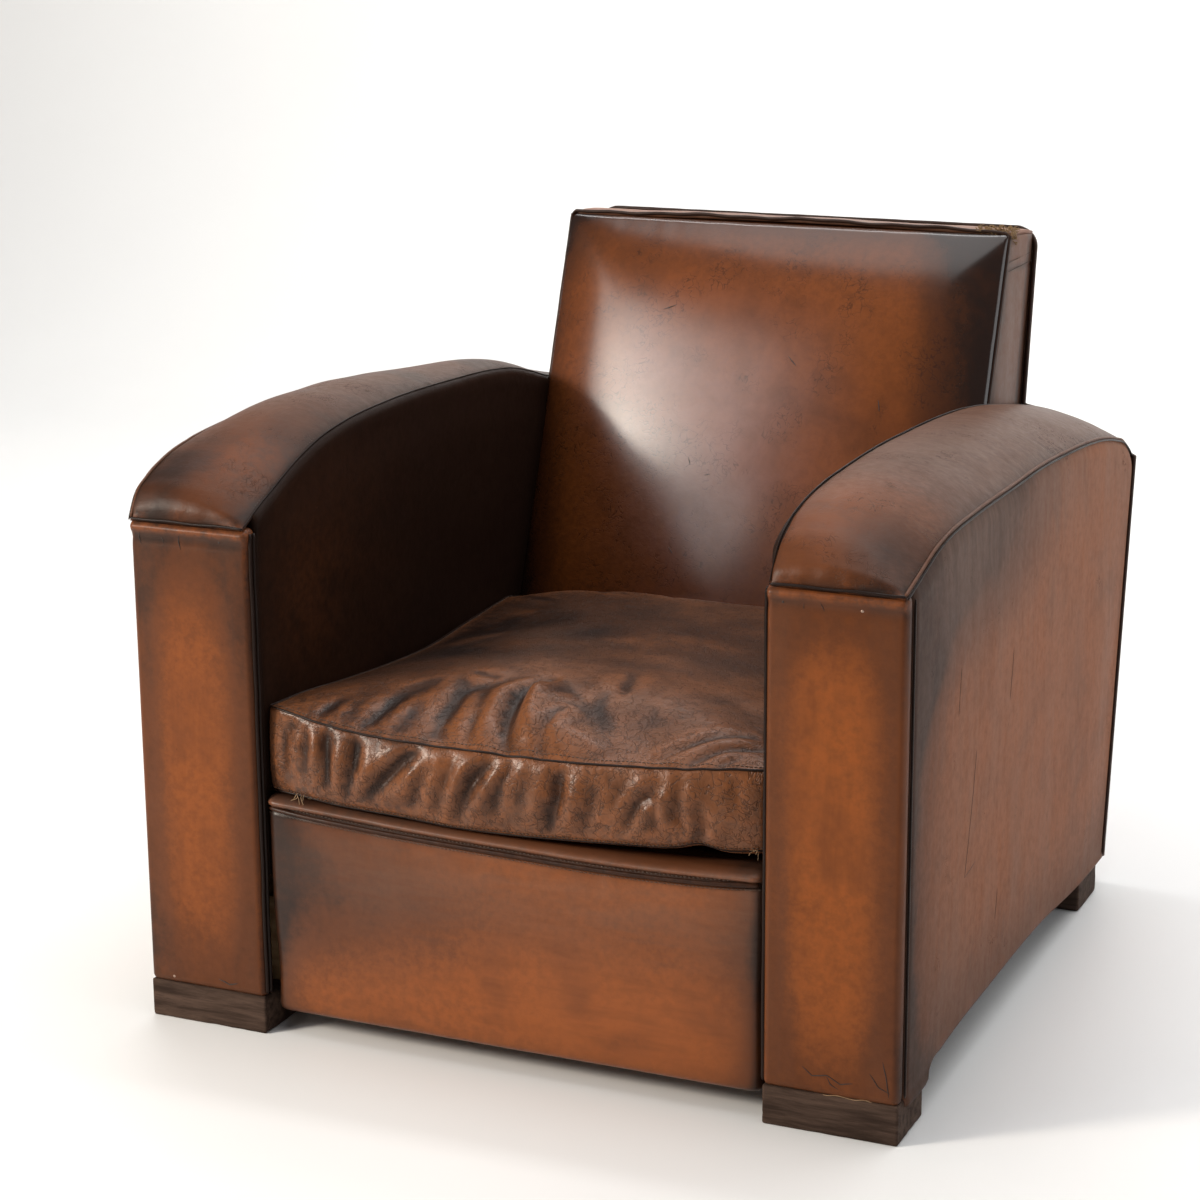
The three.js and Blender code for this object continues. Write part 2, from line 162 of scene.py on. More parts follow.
def lattice(us, vs, ws):
    """Points (0..1 each way) and quads of the surface of a box divided at these fractions."""
    shape = (len(us), len(vs), len(ws))
    grid = np.indices(shape)
    last = np.array(shape).reshape(3, 1, 1, 1) - 1
    skin = ((grid == 0) | (grid == last)).any(axis=0)
    ids = np.full(shape, -1)
    ids[skin] = np.arange(skin.sum())
    i, j, k = np.nonzero(skin)
    points = np.stack([np.asarray(us)[i], np.asarray(vs)[j], np.asarray(ws)[k]], axis=1)

    def side(a, flip):
        quads = np.stack([a[:-1, :-1], a[1:, :-1], a[1:, 1:], a[:-1, 1:]], axis=-1).reshape(-1, 4)
        return quads[:, ::-1] if flip else quads

    faces = [
        side(ids[:, :, 0], True), side(ids[:, :, -1], False),
        side(ids[0], True), side(ids[-1], False),
        side(ids[:, 0], False), side(ids[:, -1], True),
    ]
    return points, np.concatenate(faces)


def rounded(points, low, high, radius):
    """Moves the surface points of a box so that its edges have this radius."""
    radius = np.broadcast_to(np.asarray(radius, float), 3)
    centre = np.clip(points, low + radius, high - radius)
    arm = (points - centre) / radius
    length = np.linalg.norm(arm, axis=1, keepdims=True)
    reach = np.abs(arm).max(axis=1, keepdims=True)
    return centre + arm * radius * np.where(length > 0, reach / np.maximum(length, 1e-9), 1)


def stroke(flat, path, width, depth, ridge=0.6):
    """Height of one crease drawn on flat (N, 2) points: a valley along a path, with soft ridges beside."""
    path = np.asarray(path, float)
    steps = np.linalg.norm(np.diff(path, axis=0), axis=1)
    total = steps.sum()
    best = np.full(len(flat), 1e9)
    along = np.zeros(len(flat))
    run = 0
    for start, end, step in zip(path[:-1], path[1:], steps):
        way = (end - start) / step
        offset = flat - start
        t = np.clip(offset @ way, 0, step)
        distance = np.linalg.norm(offset - t[:, None] * way, axis=1)
        nearer = distance < best
        best = np.where(nearer, distance, best)
        along = np.where(nearer, run + t, along)
        run += step
    taper = np.sin(np.pi * np.clip(along / total, 0.04, 0.96)) ** 0.6
    valley = -np.exp(-((best / width) ** 2))
    shoulder = ridge * np.exp(-(((best - 2.1 * width) / (1.5 * width)) ** 2))
    return depth * taper * (valley + shoulder)


# ---- making objects --------------------------------------------------------------------------


def to_frame(x, depth, z):
    """Positions in the frame. Each part is one number for all points, or one for each point."""
    return np.stack(np.broadcast_arrays(x, FRONT_Y + depth, z), axis=1)


def plain_wear(points, edge, rub=0.0, veil=0.0):
    """The same edge darkness, rubbing and haze at every point."""
    return np.tile([edge, rub, veil], (len(points), 1))


def welt_radius():
    """Half the thickness of the piping, in millimetres."""
    return bpy.context.scene.chair_sizes.welt_radius / MM


def store_wear_and_light(layer, wear):
    colours = np.ones((len(wear), 4))
    colours[:, :3] = np.clip(wear, 0, 1)
    layer.data.foreach_set("color", colours.ravel())


def make_piece(name, points, faces, material, wear=None):
    """A smooth mesh that rides on the chair. Wear holds edge darkness, rubbing and haze for each point."""
    mesh = bpy.data.meshes.new(name)
    mesh.from_pydata((np.asarray(points) * MM).tolist(), [], [list(face) for face in faces])
    mesh.validate()
    mesh.polygons.foreach_set("use_smooth", [True] * len(mesh.polygons))
    if wear is not None:
        store_wear_and_light(mesh.attributes.new("wear", "FLOAT_COLOR", "POINT"), wear)
    piece = bpy.data.objects.new(name, mesh)
    bpy.context.scene.collection.objects.link(piece)
    mesh.materials.append(material)
    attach(piece, BODY)
    return piece


SIDES = (("right", 1), ("left", -1))


def on_both_sides(points, faces):
    """The right piece and its mirror image on the left."""
    mirror = points * np.array([-1, 1, 1])
    return [("right", points, faces), ("left", mirror, faces[:, ::-1])]


def resample(path, spacing):
    """Evenly spaced points along a path."""
    path = np.asarray(path, float)
    run = np.concatenate([[0], np.cumsum(np.linalg.norm(np.diff(path, axis=0), axis=1))])
    count = max(2, int(round(run[-1] / spacing)) + 1)
    at = np.linspace(0, run[-1], count)
    return np.stack([np.interp(at, run, path[:, axis]) for axis in range(3)], axis=1)


def directions(path):
    way = np.gradient(path, axis=0)
    return way / np.linalg.norm(way, axis=1, keepdims=True)


def ring_faces(rings, sides):
    """Faces of a closed tube of rings that have this many points each."""
    ids = np.arange(rings * sides).reshape(rings, sides)
    following = np.roll(ids, -1, axis=1)
    quads = np.stack([ids[:-1], following[:-1], following[1:], ids[1:]], axis=-1).reshape(-1, 4)
    return [list(q) for q in quads] + [list(ids[0][::-1]), list(ids[-1])]


def tube(path, radius, sides=PIPE_SIDES, seed=0, uneven=0.06):
    """A closed tube along a path, a little uneven as sewn piping is."""
    way = directions(path)
    guide = np.array([0.31, 0.17, 0.93])
    across = np.cross(way, guide)
    across /= np.linalg.norm(across, axis=1, keepdims=True)
    up = np.cross(across, way)
    angle = np.linspace(0, 2 * np.pi, sides, endpoint=False)
    swell = 1 + uneven * lumps(path, 9, seed) + uneven * lumps(path, 31, seed + 5)
    ends = np.minimum(np.arange(len(path)), np.arange(len(path))[::-1])
    swell *= np.where(ends == 0, 0.55, 1)
    ring = np.cos(angle)[None, :, None] * across[:, None] + np.sin(angle)[None, :, None] * up[:, None]
    points = path[:, None] + ring * (np.broadcast_to(radius, len(path)) * swell)[:, None, None]
    return points.reshape(-1, 3), ring_faces(len(path), sides)


def merged(parts):
    """Several (points, faces) meshes as one."""
    points, faces, start = [], [], 0
    for some_points, some_faces in parts:
        points.append(some_points)
        faces += [[index + start for index in face] for face in some_faces]
        start += len(some_points)
    return np.concatenate(points), faces


STITCH_PROFILE = (
    (0.0, 0.35, -0.5), (0.22, 0.95, 0.25), (0.5, 1.0, 0.55), (0.78, 0.95, 0.25), (1.0, 0.35, -0.5),
)
STITCH_SIDES = 6


def stitches(path, outward, pitch=4.2, length=3.1, radius=0.42, seed=0):
    """A row of short thread stitches along a path, standing on the side that outward points to."""
    path = resample(path, pitch)
    way = directions(path)
    outward = np.asarray(outward, float)
    if outward.ndim == 2:
        pick = np.linspace(0, len(outward) - 1, len(path)).round().astype(int)
        outward = outward[pick]
    out = np.broadcast_to(outward, path.shape)
    out = out - (out * way).sum(axis=1, keepdims=True) * way
    out = out / np.linalg.norm(out, axis=1, keepdims=True)
    across = np.cross(way, out)
    stray = lumps(path, 3.1, seed + 3)[:, None] * 0.25 * across
    angle = np.linspace(0, 2 * np.pi, STITCH_SIDES, endpoint=False)
    turn_across, turn_out = np.cos(angle)[None, :, None], np.sin(angle)[None, :, None]
    rings = []
    for along, thick, lift in STITCH_PROFILE:
        middle = path + stray + way * (along - 0.5) * length + out * lift * radius
        circle = turn_across * across[:, None] + turn_out * out[:, None]
        rings.append(middle[:, None] + circle * radius * thick)
    points = np.stack(rings, axis=1)
    count, ring_count = len(path), len(STITCH_PROFILE)
    ids = np.arange(count * ring_count * STITCH_SIDES).reshape(count, ring_count, STITCH_SIDES)
    following = np.roll(ids, -1, axis=2)
    corners = [ids[:, :-1], following[:, :-1], following[:, 1:], ids[:, 1:]]
    faces = [list(q) for q in np.stack(corners, axis=-1).reshape(-1, 4)]
    faces += [list(face[::-1]) for face in ids[:, 0]] + [list(face) for face in ids[:, -1]]
    return points.reshape(-1, 3), faces


# ---- the shape of the chair ------------------------------------------------------------------

REAR_LEAN = 0.168
BACK_LEAN = 0.376


def rear_face(z):
    """Depth of the chair's rear face at this height."""
    return 752.4 + REAR_LEAN * z


def back_front(z):
    """Depth of the welt around the front of the back at this height."""
    return 766 + BACK_LEAN * (z - 736)


INNER_SEAM = {
    1: smooth_profile([
        (0, 524), (20, 552), (48, 569), (80, 578), (130, 585), (200, 588), (300, 589), (391, 586),
        (478, 582), (559, 576), (640, 566), (740, 549), (840, 530),
    ]),
    -1: smooth_profile([
        (0, 524), (26, 537), (60, 551), (100, 567), (156, 583), (206, 590), (300, 594), (450, 590),
        (557, 583), (603, 577), (650, 566), (690, 554), (840, 530),
    ]),
}
OUTER_SEAM = {
    1: smooth_profile([
        (0, 523), (44, 535), (90, 547), (130, 552), (200, 554), (340, 553), (438, 552), (540, 546),
        (625, 539), (693, 530), (746, 519), (784, 508), (818, 486), (833, 469),
    ]),
    -1: smooth_profile([
        (0, 523.5), (12, 545), (30, 557), (60, 569), (110, 579), (170, 584), (260, 586), (400, 577),
        (560, 553), (640, 543), (700, 531), (760, 513), (818, 486), (833, 469),
    ]),
}
PAD_FILL = {
    1: smooth_profile([
        (0, 12), (80, 16), (200, 18), (300, 18), (450, 16.5), (600, 14), (700, 11), (820, 8),
    ]),
    -1: smooth_profile([
        (0, 11), (80, 15), (160, 19), (300, 20), (450, 18), (600, 19), (700, 15), (820, 7),
    ]),
}
SIDE_HEM = smooth_profile([
    (18, 33), (70, 32), (88, 34), (104, 45), (140, 48), (330, 51), (540, 48), (650, 40), (760, 36),
])
SEAM_IN, SEAM_OUT = ARM_IN + 5, ARM_OUT - 3


def seam_line(x, depth, side):
    across = (x - SEAM_IN) / (SEAM_OUT - SEAM_IN)
    return lerp(INNER_SEAM[side](depth), OUTER_SEAM[side](depth), across)


def arm_rear(x, side=1):
    """Depth at which the arm's seam line meets the outside cover of the back."""
    depth = np.full(np.shape(x), 820.0)
    for _ in range(5):
        depth = rear_face(seam_line(x, depth, side)) - REAR_COVER
    return depth


def pad_top(x, depth, side=1):
    """Height of the padded top of an arm. The right (1) and left (-1) arms have seams of their own."""
    across = np.clip((x - SEAM_IN) / (SEAM_OUT - SEAM_IN), 0, 1)
    swell = 1 - np.abs(1 - 2 * across) ** 2.2
    return seam_line(x, depth, side) + PAD_FILL[side](depth) * swell * ease(depth, -3, 8)


# ---- shader nodes ----------------------------------------------------------------------------


class Graph:
    """Adds nodes to a tree and links or sets their inputs."""

    def __init__(self, tree):
        self.tree = tree

    def feed(self, socket, value):
        if isinstance(value, bpy.types.NodeSocket):
            self.tree.links.new(value, socket)
        elif value is not None:
            socket.default_value = value

    def add(self, kind, inputs=None, **settings):
        node = self.tree.nodes.new(kind)
        for key, value in settings.items():
            setattr(node, key, value)
        for key, value in (inputs or {}).items():
            self.feed(node.inputs[key], value)
        return node

    def math(self, operation, a, b=None, c=None, clamp=False):
        node = self.add("ShaderNodeMath", operation=operation, use_clamp=clamp)
        for socket, value in zip(node.inputs, (a, b, c)):
            self.feed(socket, value)
        return node.outputs[0]

    def mix(self, factor, a, b, blend="MIX"):
        node = self.add("ShaderNodeMix", data_type="RGBA", blend_type=blend)
        for index, value in ((0, factor), (6, a), (7, b)):
            self.feed(node.inputs[index], value)
        return node.outputs[2]

    def ease(self, value, low, high, to_low=0.0, to_high=1.0):
        names = ("Value", "From Min", "From Max", "To Min", "To Max")
        inputs = dict(zip(names, (value, low, high, to_low, to_high)))
        return self.add("ShaderNodeMapRange", inputs, interpolation_type="SMOOTHSTEP").outputs[0]

    def noise(self, vector, scale, detail=4.0, roughness=0.55, distortion=0.0, output="Fac"):
        inputs = {"Vector": vector, "Scale": scale, "Detail": detail}
        inputs.update({"Roughness": roughness, "Distortion": distortion})
        return self.add("ShaderNodeTexNoise", inputs).outputs[output]

    def vector(self, operation, a, b):
        """Vector maths. The second input of a SCALE is its one number."""
        inputs = {0: a, "Scale" if operation == "SCALE" else 1: b}
        return self.add("ShaderNodeVectorMath", inputs, operation=operation).outputs[0]

    def warped(self, vector, scale, amount):
        """The vector pushed about by noise."""
        field = self.noise(vector, scale, 2.0, roughness=0.5, output="Color")
        push = self.vector("SCALE", self.vector("SUBTRACT", field, (0.5, 0.5, 0.5)), amount)
        return self.vector("ADD", vector, push)

    def place(self):
        """The position on the object."""
        return self.add("ShaderNodeTexCoord").outputs["Object"]


GROUPS = {}


def shader_group(name, inputs, outputs):
    """A new node group with named sockets: (group, graph, input sockets, output node)."""
    tree = bpy.data.node_groups.new(name, "ShaderNodeTree")
    for label, kind, default in inputs:
        socket = tree.interface.new_socket(label, in_out="INPUT", socket_type=kind)
        if default is not None:
            socket.default_value = default
    for label, kind in outputs:
        tree.interface.new_socket(label, in_out="OUTPUT", socket_type=kind)
    graph = Graph(tree)
    given = graph.add("NodeGroupInput").outputs
    result = graph.add("NodeGroupOutput").inputs
    GROUPS[name] = tree
    return graph, given, result


FLOAT, COLOUR, VECTOR = "NodeSocketFloat", "NodeSocketColor", "NodeSocketVector"


def build_crease_group():
    """Fine broken lines, as in old leather that has been folded and dried."""
    inputs = [
        ("Vector", VECTOR, None), ("Scale", FLOAT, 40.0), ("Width", FLOAT, 0.05), ("Cover", FLOAT, 0.5),
    ]
    g, given, result = shader_group("Crease Lines", inputs, [("Lines", FLOAT)])
    fields = g.noise(given["Vector"], given["Scale"], 2.0, 0.55, 0.35, output="Color")
    levels = g.add("ShaderNodeSeparateColor", {0: fields}).outputs
    first, second = (g.math("ABSOLUTE", g.math("SUBTRACT", level, 0.5)) for level in levels[:2])
    line = g.ease(g.math("MINIMUM", first, second), given["Width"], 0.0)
    patch = g.noise(given["Vector"], 17.0, 2.0, 0.6)
    low = g.math("SUBTRACT", 0.95, given["Cover"])
    broken = g.ease(patch, low, g.math("ADD", low, 0.16))
    g.feed(result["Lines"], g.math("MULTIPLY", line, broken, clamp=True))


def build_hide_group():
    """Colour, roughness and relief of old waxed leather, from its wear masks."""
    inputs = [
        ("Light", COLOUR, None), ("Middle", COLOUR, None), ("Dark", COLOUR, None),
        ("Haze", COLOUR, None),
        ("Edge", FLOAT, 0.0), ("Rub", FLOAT, 0.0), ("Veil", FLOAT, 0.0), ("Lines", FLOAT, 0.0),
        ("Tone", FLOAT, 0.0), ("Gloss", FLOAT, 0.4), ("Streaks", VECTOR, (30.0, 110.0, 110.0)),
    ]
    outputs = [("Color", COLOUR), ("Roughness", FLOAT), ("Height", FLOAT)]
    g, given, result = shader_group("Aged Hide", inputs, outputs)
    place = g.place()
    cloudy = g.noise(place, 10.0, 4.0, 0.6, 0.4)
    fine = g.noise(place, 115.0, 4.0, 0.66)
    long = g.vector("MULTIPLY", place, given["Streaks"])
    streak = g.noise(long, 1.0, 3.0, 0.62, 0.3)

    tone = g.math("MULTIPLY_ADD", streak, 0.30, g.math("MULTIPLY", cloudy, 0.70))
    tone = g.math("ADD", tone, given["Tone"])
    colour = g.mix(g.ease(tone, 0.30, 0.60, 0.12, 1.0), given["Middle"], given["Light"])
    colour = g.mix(g.ease(fine, 0.36, 0.72, 0.0, 0.38), colour, given["Middle"])

    # Edge darkens the hide: dark patina along seams and edges, and painted shade where a piece sets it so.
    ragged = g.math("MULTIPLY_ADD", g.math("SUBTRACT", cloudy, 0.5), 0.62, given["Edge"])
    ragged = g.math("MULTIPLY_ADD", g.math("SUBTRACT", streak, 0.5), 0.26, ragged)
    ragged = g.math("MULTIPLY_ADD", g.math("SUBTRACT", fine, 0.5), 0.22, ragged)
    deep = g.mix(0.5, given["Dark"], given["Middle"])
    colour = g.mix(g.ease(ragged, 0.10, 0.66, 0.0, 0.85), colour, deep)
    colour = g.mix(g.ease(ragged, 0.60, 1.05, 0.0, 0.96), colour, given["Dark"])

    # Veil mixes in the haze colour: dry bloom, and painted sheen and reflection where a piece sets them.
    mist = g.math("MULTIPLY", given["Veil"], g.ease(streak, 0.30, 0.66, 0.60, 1.05), clamp=True)
    colour = g.mix(mist, colour, given["Haze"])

    bright = g.mix(1.0, given["Light"], (1.7, 1.6, 1.5, 1.0), "MULTIPLY")
    scuff = g.math("MULTIPLY", given["Rub"], g.ease(fine, 0.26, 0.72), clamp=True)
    colour = g.mix(g.math("MULTIPLY", scuff, 0.75), colour, bright)
    colour = g.mix(g.math("MULTIPLY", given["Lines"], 0.50), colour, given["Dark"])
    colour = g.mix(g.ease(fine, 0.735, 0.77, 0.0, 0.6), colour, given["Dark"])

    gloss = g.math("MULTIPLY_ADD", g.math("SUBTRACT", fine, 0.5), 0.22, given["Gloss"])
    gloss = g.math("MULTIPLY_ADD", given["Rub"], -0.14, gloss)
    gloss = g.math("MULTIPLY_ADD", given["Lines"], 0.15, gloss, clamp=True)

    height = g.math("MULTIPLY_ADD", given["Lines"], -0.45, fine)
    height = g.math("MULTIPLY_ADD", streak, 0.5, height)
    g.feed(result["Color"], colour)
    g.feed(result["Roughness"], gloss)
    g.feed(result["Height"], height)


def build_wood_group():
    """Long grain with darker growth lines."""
    inputs = [("Light", COLOUR, None), ("Dark", COLOUR, None), ("Stretch", VECTOR, (6.0, 60.0, 60.0))]
    g, given, result = shader_group("Wood Grain", inputs, [("Color", COLOUR), ("Height", FLOAT)])
    place = g.place()
    long = g.vector("MULTIPLY", g.warped(place, 9.0, 0.006), given["Stretch"])
    grain = g.noise(long, 1.0, 6.0, 0.65, 0.2)
    pores = g.noise(long, 7.0, 3.0, 0.6)
    colour = g.mix(g.ease(grain, 0.32, 0.68), given["Dark"], given["Light"])
    colour = g.mix(g.ease(pores, 0.55, 0.72, 0.0, 0.5), colour, given["Dark"])
    g.feed(result["Color"], colour)
    g.feed(result["Height"], g.math("MULTIPLY_ADD", pores, -0.6, grain))


def build_weave_group():
    """Crossing threads of a plain weave, in the chair's level plane and in its upright one."""
    inputs = [("Threads", FLOAT, 500.0)]
    g, given, result = shader_group("Plain Weave", inputs, [("Mask", FLOAT), ("Height", FLOAT)])
    place = g.place()
    axes = g.add("ShaderNodeSeparateXYZ", {0: g.warped(place, 60.0, 0.0015)}).outputs
    waves = []
    for axis, shift in ((axes["X"], 0.0), (axes["Y"], 1.57), (axes["Z"], 1.57)):
        angle = g.math("MULTIPLY_ADD", axis, given["Threads"], shift)
        waves.append(g.math("SINE", angle))
    level = g.math("MULTIPLY", waves[0], waves[1])
    height = g.math("MULTIPLY_ADD", g.math("MULTIPLY", waves[0], waves[2]), 0.5, level)
    g.feed(result["Mask"], g.ease(height, -0.8, 0.8))
    g.feed(result["Height"], height)


def new_material(name):
    material = bpy.data.materials.new(name)
    material.use_nodes = True
    material.node_tree.nodes.clear()
    graph = Graph(material.node_tree)
    shader = graph.add("ShaderNodeBsdfPrincipled")
    output = graph.add("ShaderNodeOutputMaterial")
    graph.feed(output.inputs["Surface"], shader.outputs[0])
    return material, graph, shader


def relief(graph, height, distance, strength):
    inputs = {"Height": height, "Distance": distance, "Strength": strength}
    return graph.add("ShaderNodeBump", inputs).outputs["Normal"]


def with_group(graph, name, **inputs):
    node = graph.add("ShaderNodeGroup", node_tree=GROUPS[name])
    for label, value in inputs.items():
        graph.feed(node.inputs[label.replace("_", " ")], value)
    return node.outputs


def leather_material(
    name, colours, net, tone=0.0, gloss=0.40, streaks=(60, 60, 60), depth=0.0005,
    coat=(0.0, 0.2, 1.5), shine=0.3,
):
    """Leather in four colours. Net is the scale, width and cover of its crease lines.

    Coat is the weight, roughness and refractive index of the wax on it.
    """
    material, graph, shader = new_material(name)
    wear = graph.add("ShaderNodeAttribute", attribute_name="wear").outputs["Color"]
    masks = graph.add("ShaderNodeSeparateColor", {0: wear}).outputs
    place = graph.place()
    scale, width, cover = net
    lines = with_group(graph, "Crease Lines", Vector=place, Scale=scale, Width=width, Cover=cover)
    light, middle, dark, haze = (tuple(colour) + (1.0,) for colour in colours)
    hide = with_group(
        graph, "Aged Hide", Light=light, Middle=middle, Dark=dark, Haze=haze, Lines=lines[0],
        Edge=masks[0], Rub=masks[1], Veil=masks[2], Tone=tone, Gloss=gloss, Streaks=streaks,
    )
    graph.feed(shader.inputs["Base Color"], hide["Color"])
    graph.feed(shader.inputs["Roughness"], hide["Roughness"])
    graph.feed(shader.inputs["Normal"], relief(graph, hide["Height"], depth, 0.55))
    shader.inputs["IOR"].default_value = 1.45
    shader.inputs["Specular IOR Level"].default_value = shine
    for label, value in zip(("Coat Weight", "Coat Roughness", "Coat IOR"), coat):
        shader.inputs[label].default_value = value
    return material


def wood_material(name, light, dark, stretch, gloss, shine):
    material, graph, shader = new_material(name)
    wood = with_group(graph, "Wood Grain", Light=light + (1.0,), Dark=dark + (1.0,), Stretch=stretch)
    graph.feed(shader.inputs["Base Color"], wood["Color"])
    shader.inputs["Roughness"].default_value = gloss
    shader.inputs["Specular IOR Level"].default_value = shine
    shader.inputs["IOR"].default_value = 1.2
    graph.feed(shader.inputs["Normal"], relief(graph, wood["Height"], 0.0006, 0.6))
    return material


def woven_material(name, light, dark, threads):
    material, graph, shader = new_material(name)
    weave = with_group(graph, "Plain Weave", Threads=threads)
    graph.feed(shader.inputs["Base Color"], graph.mix(weave["Mask"], dark + (1.0,), light + (1.0,)))
    shader.inputs["Roughness"].default_value = 0.9
    graph.feed(shader.inputs["Normal"], relief(graph, weave["Height"], 0.0005, 0.8))
    return material


def thread_material(name, dark, light):
    material, graph, shader = new_material(name)
    place = graph.place()
    twist = graph.noise(place, 1400.0, 2.0)
    colour = graph.mix(twist, dark + (1.0,), light + (1.0,))
    graph.feed(shader.inputs["Base Color"], colour)
    graph.feed(shader.inputs["Normal"], relief(graph, twist, 0.0002, 0.6))
    shader.inputs["Roughness"].default_value = 0.6
    return material


def steel_material():
    material, graph, shader = new_material("coppered_wire")
    place = graph.place()
    tarnish = graph.noise(place, 60.0, 5.0)
    colour = graph.mix(tarnish, (0.18, 0.10, 0.07, 1.0), (0.55, 0.42, 0.34, 1.0))
    graph.feed(shader.inputs["Base Color"], colour)
    graph.feed(shader.inputs["Roughness"], graph.ease(tarnish, 0.3, 0.7, 0.55, 0.3))
    shader.inputs["Metallic"].default_value = 1.0
    return material


def build_groups():
    build_crease_group()
    build_hide_group()
    build_wood_group()
    build_weave_group()


# Each thread has its dark and light colours.
THREADS = {
    "thread": ("waxed_thread", (0.030, 0.016, 0.010), (0.085, 0.050, 0.032)),
    "pale_thread": ("frayed_thread", (0.20, 0.11, 0.05), (0.48, 0.32, 0.18)),
    "crack": ("dry_crack", (0.010, 0.005, 0.003), (0.030, 0.013, 0.007)),
    "fibre": ("coir_stuffing", (0.110, 0.058, 0.020), (0.330, 0.200, 0.080)),
}
# Each wood has its light and dark colours, the fineness of its grain along each axis, roughness and shine.
WOODS = {
    "foot": ("stained_wood", (0.090, 0.058, 0.044), (0.034, 0.022, 0.017), (10.0, 110.0, 110.0), 0.5, 0.06),
    "frame": ("planed_beech", (0.50, 0.34, 0.19), (0.33, 0.20, 0.10), (8.0, 60.0, 60.0), 0.65, 0.3),
}
# Each cloth has its light and dark colours, and how close its threads lie.
CLOTHS = {
    "webbing": ("jute_webbing", (0.42, 0.33, 0.20), (0.20, 0.14, 0.08), 1500.0),
    "hessian": ("hessian_cloth", (0.46, 0.36, 0.21), (0.18, 0.13, 0.07), 2100.0),
    "dust": ("black_cloth", (0.035, 0.032, 0.030), (0.012, 0.011, 0.010), 5200.0),
}
MATERIALS = {}


def material(name):
    return MATERIALS[name]


def dimmed(colour, share):
    return tuple(share * part for part in colour)


def build_materials():
    look = bpy.context.scene.chair_look
    light, middle = tuple(look.leather_light), tuple(look.leather_brown)
    dark, haze = tuple(look.leather_dark), tuple(look.leather_bloom_and_sheen)
    between = tuple((a + b) / 2 for a, b in zip(light, middle))
    deep, shaded = dimmed(middle, 0.6), dimmed(middle, 0.8)
    hide = (light, middle, dark, haze)
    # The mauve is the painted reflection of the inside back.
    mauve = tuple(look.back_reflection)
    dull = (tuple(look.cushion_light), tuple(look.cushion_brown), dark, haze)
    upright, level, crosswise = (70, 70, 11), (11, 60, 80), (14, 80, 80)
    MATERIALS["tight"] = leather_material(
        "tight_leather", (dimmed(between, 0.80), deep, dark, mauve), (62, 0.015, 0.50), gloss=0.42,
        streaks=(34, 40, 26), depth=0.0012, coat=(0.85, 0.20, 1.6), shine=0.03,
    )
    MATERIALS["apron"] = leather_material(
        "apron_leather", hide, (60, 0.012, 0.30), gloss=0.42, streaks=level,
        coat=(0.08, 0.2, 1.5), shine=0.27,
    )
    MATERIALS["panel"] = leather_material(
        "panel_leather", hide, (56, 0.012, 0.28), gloss=0.44, streaks=upright, shine=0.20,
    )
    MATERIALS["side"] = leather_material(
        "side_leather", (dimmed(between, 1.24), middle, dark, haze), (50, 0.011, 0.36), tone=0.03,
        gloss=0.58, streaks=upright, shine=0.14,
    )
    # The inside leather is dark with patina and painted shade of the hollow inside the arms.
    MATERIALS["inside"] = leather_material(
        "inside_leather", (shaded, dark, dark, haze), (40, 0.011, 0.36), tone=-0.05, gloss=0.5, shine=0.08,
    )
    MATERIALS["arm_top"] = leather_material(
        "arm_top_leather", (between, deep, dark, haze), (70, 0.014, 0.46), tone=-0.02, gloss=0.46,
        streaks=crosswise, depth=0.0007, shine=0.20,
    )
    MATERIALS["cushion"] = leather_material(
        "cushion_leather", dull, (75, 0.020, 0.70), gloss=0.42, streaks=(46, 46, 46), depth=0.0017,
        coat=(0.10, 0.24, 1.5), shine=0.20,
    )
    MATERIALS["welt"] = leather_material(
        "welt_leather", (middle, dark, dark, haze), (60, 0.03, 0.4), tone=-0.1, shine=0.2,
    )
    MATERIALS["steel"] = steel_material()
    for make, looks in ((thread_material, THREADS), (wood_material, WOODS), (woven_material, CLOTHS)):
        for key, values in looks.items():
            MATERIALS[key] = make(*values)


# ---- arms ------------------------------------------------------------------------------------


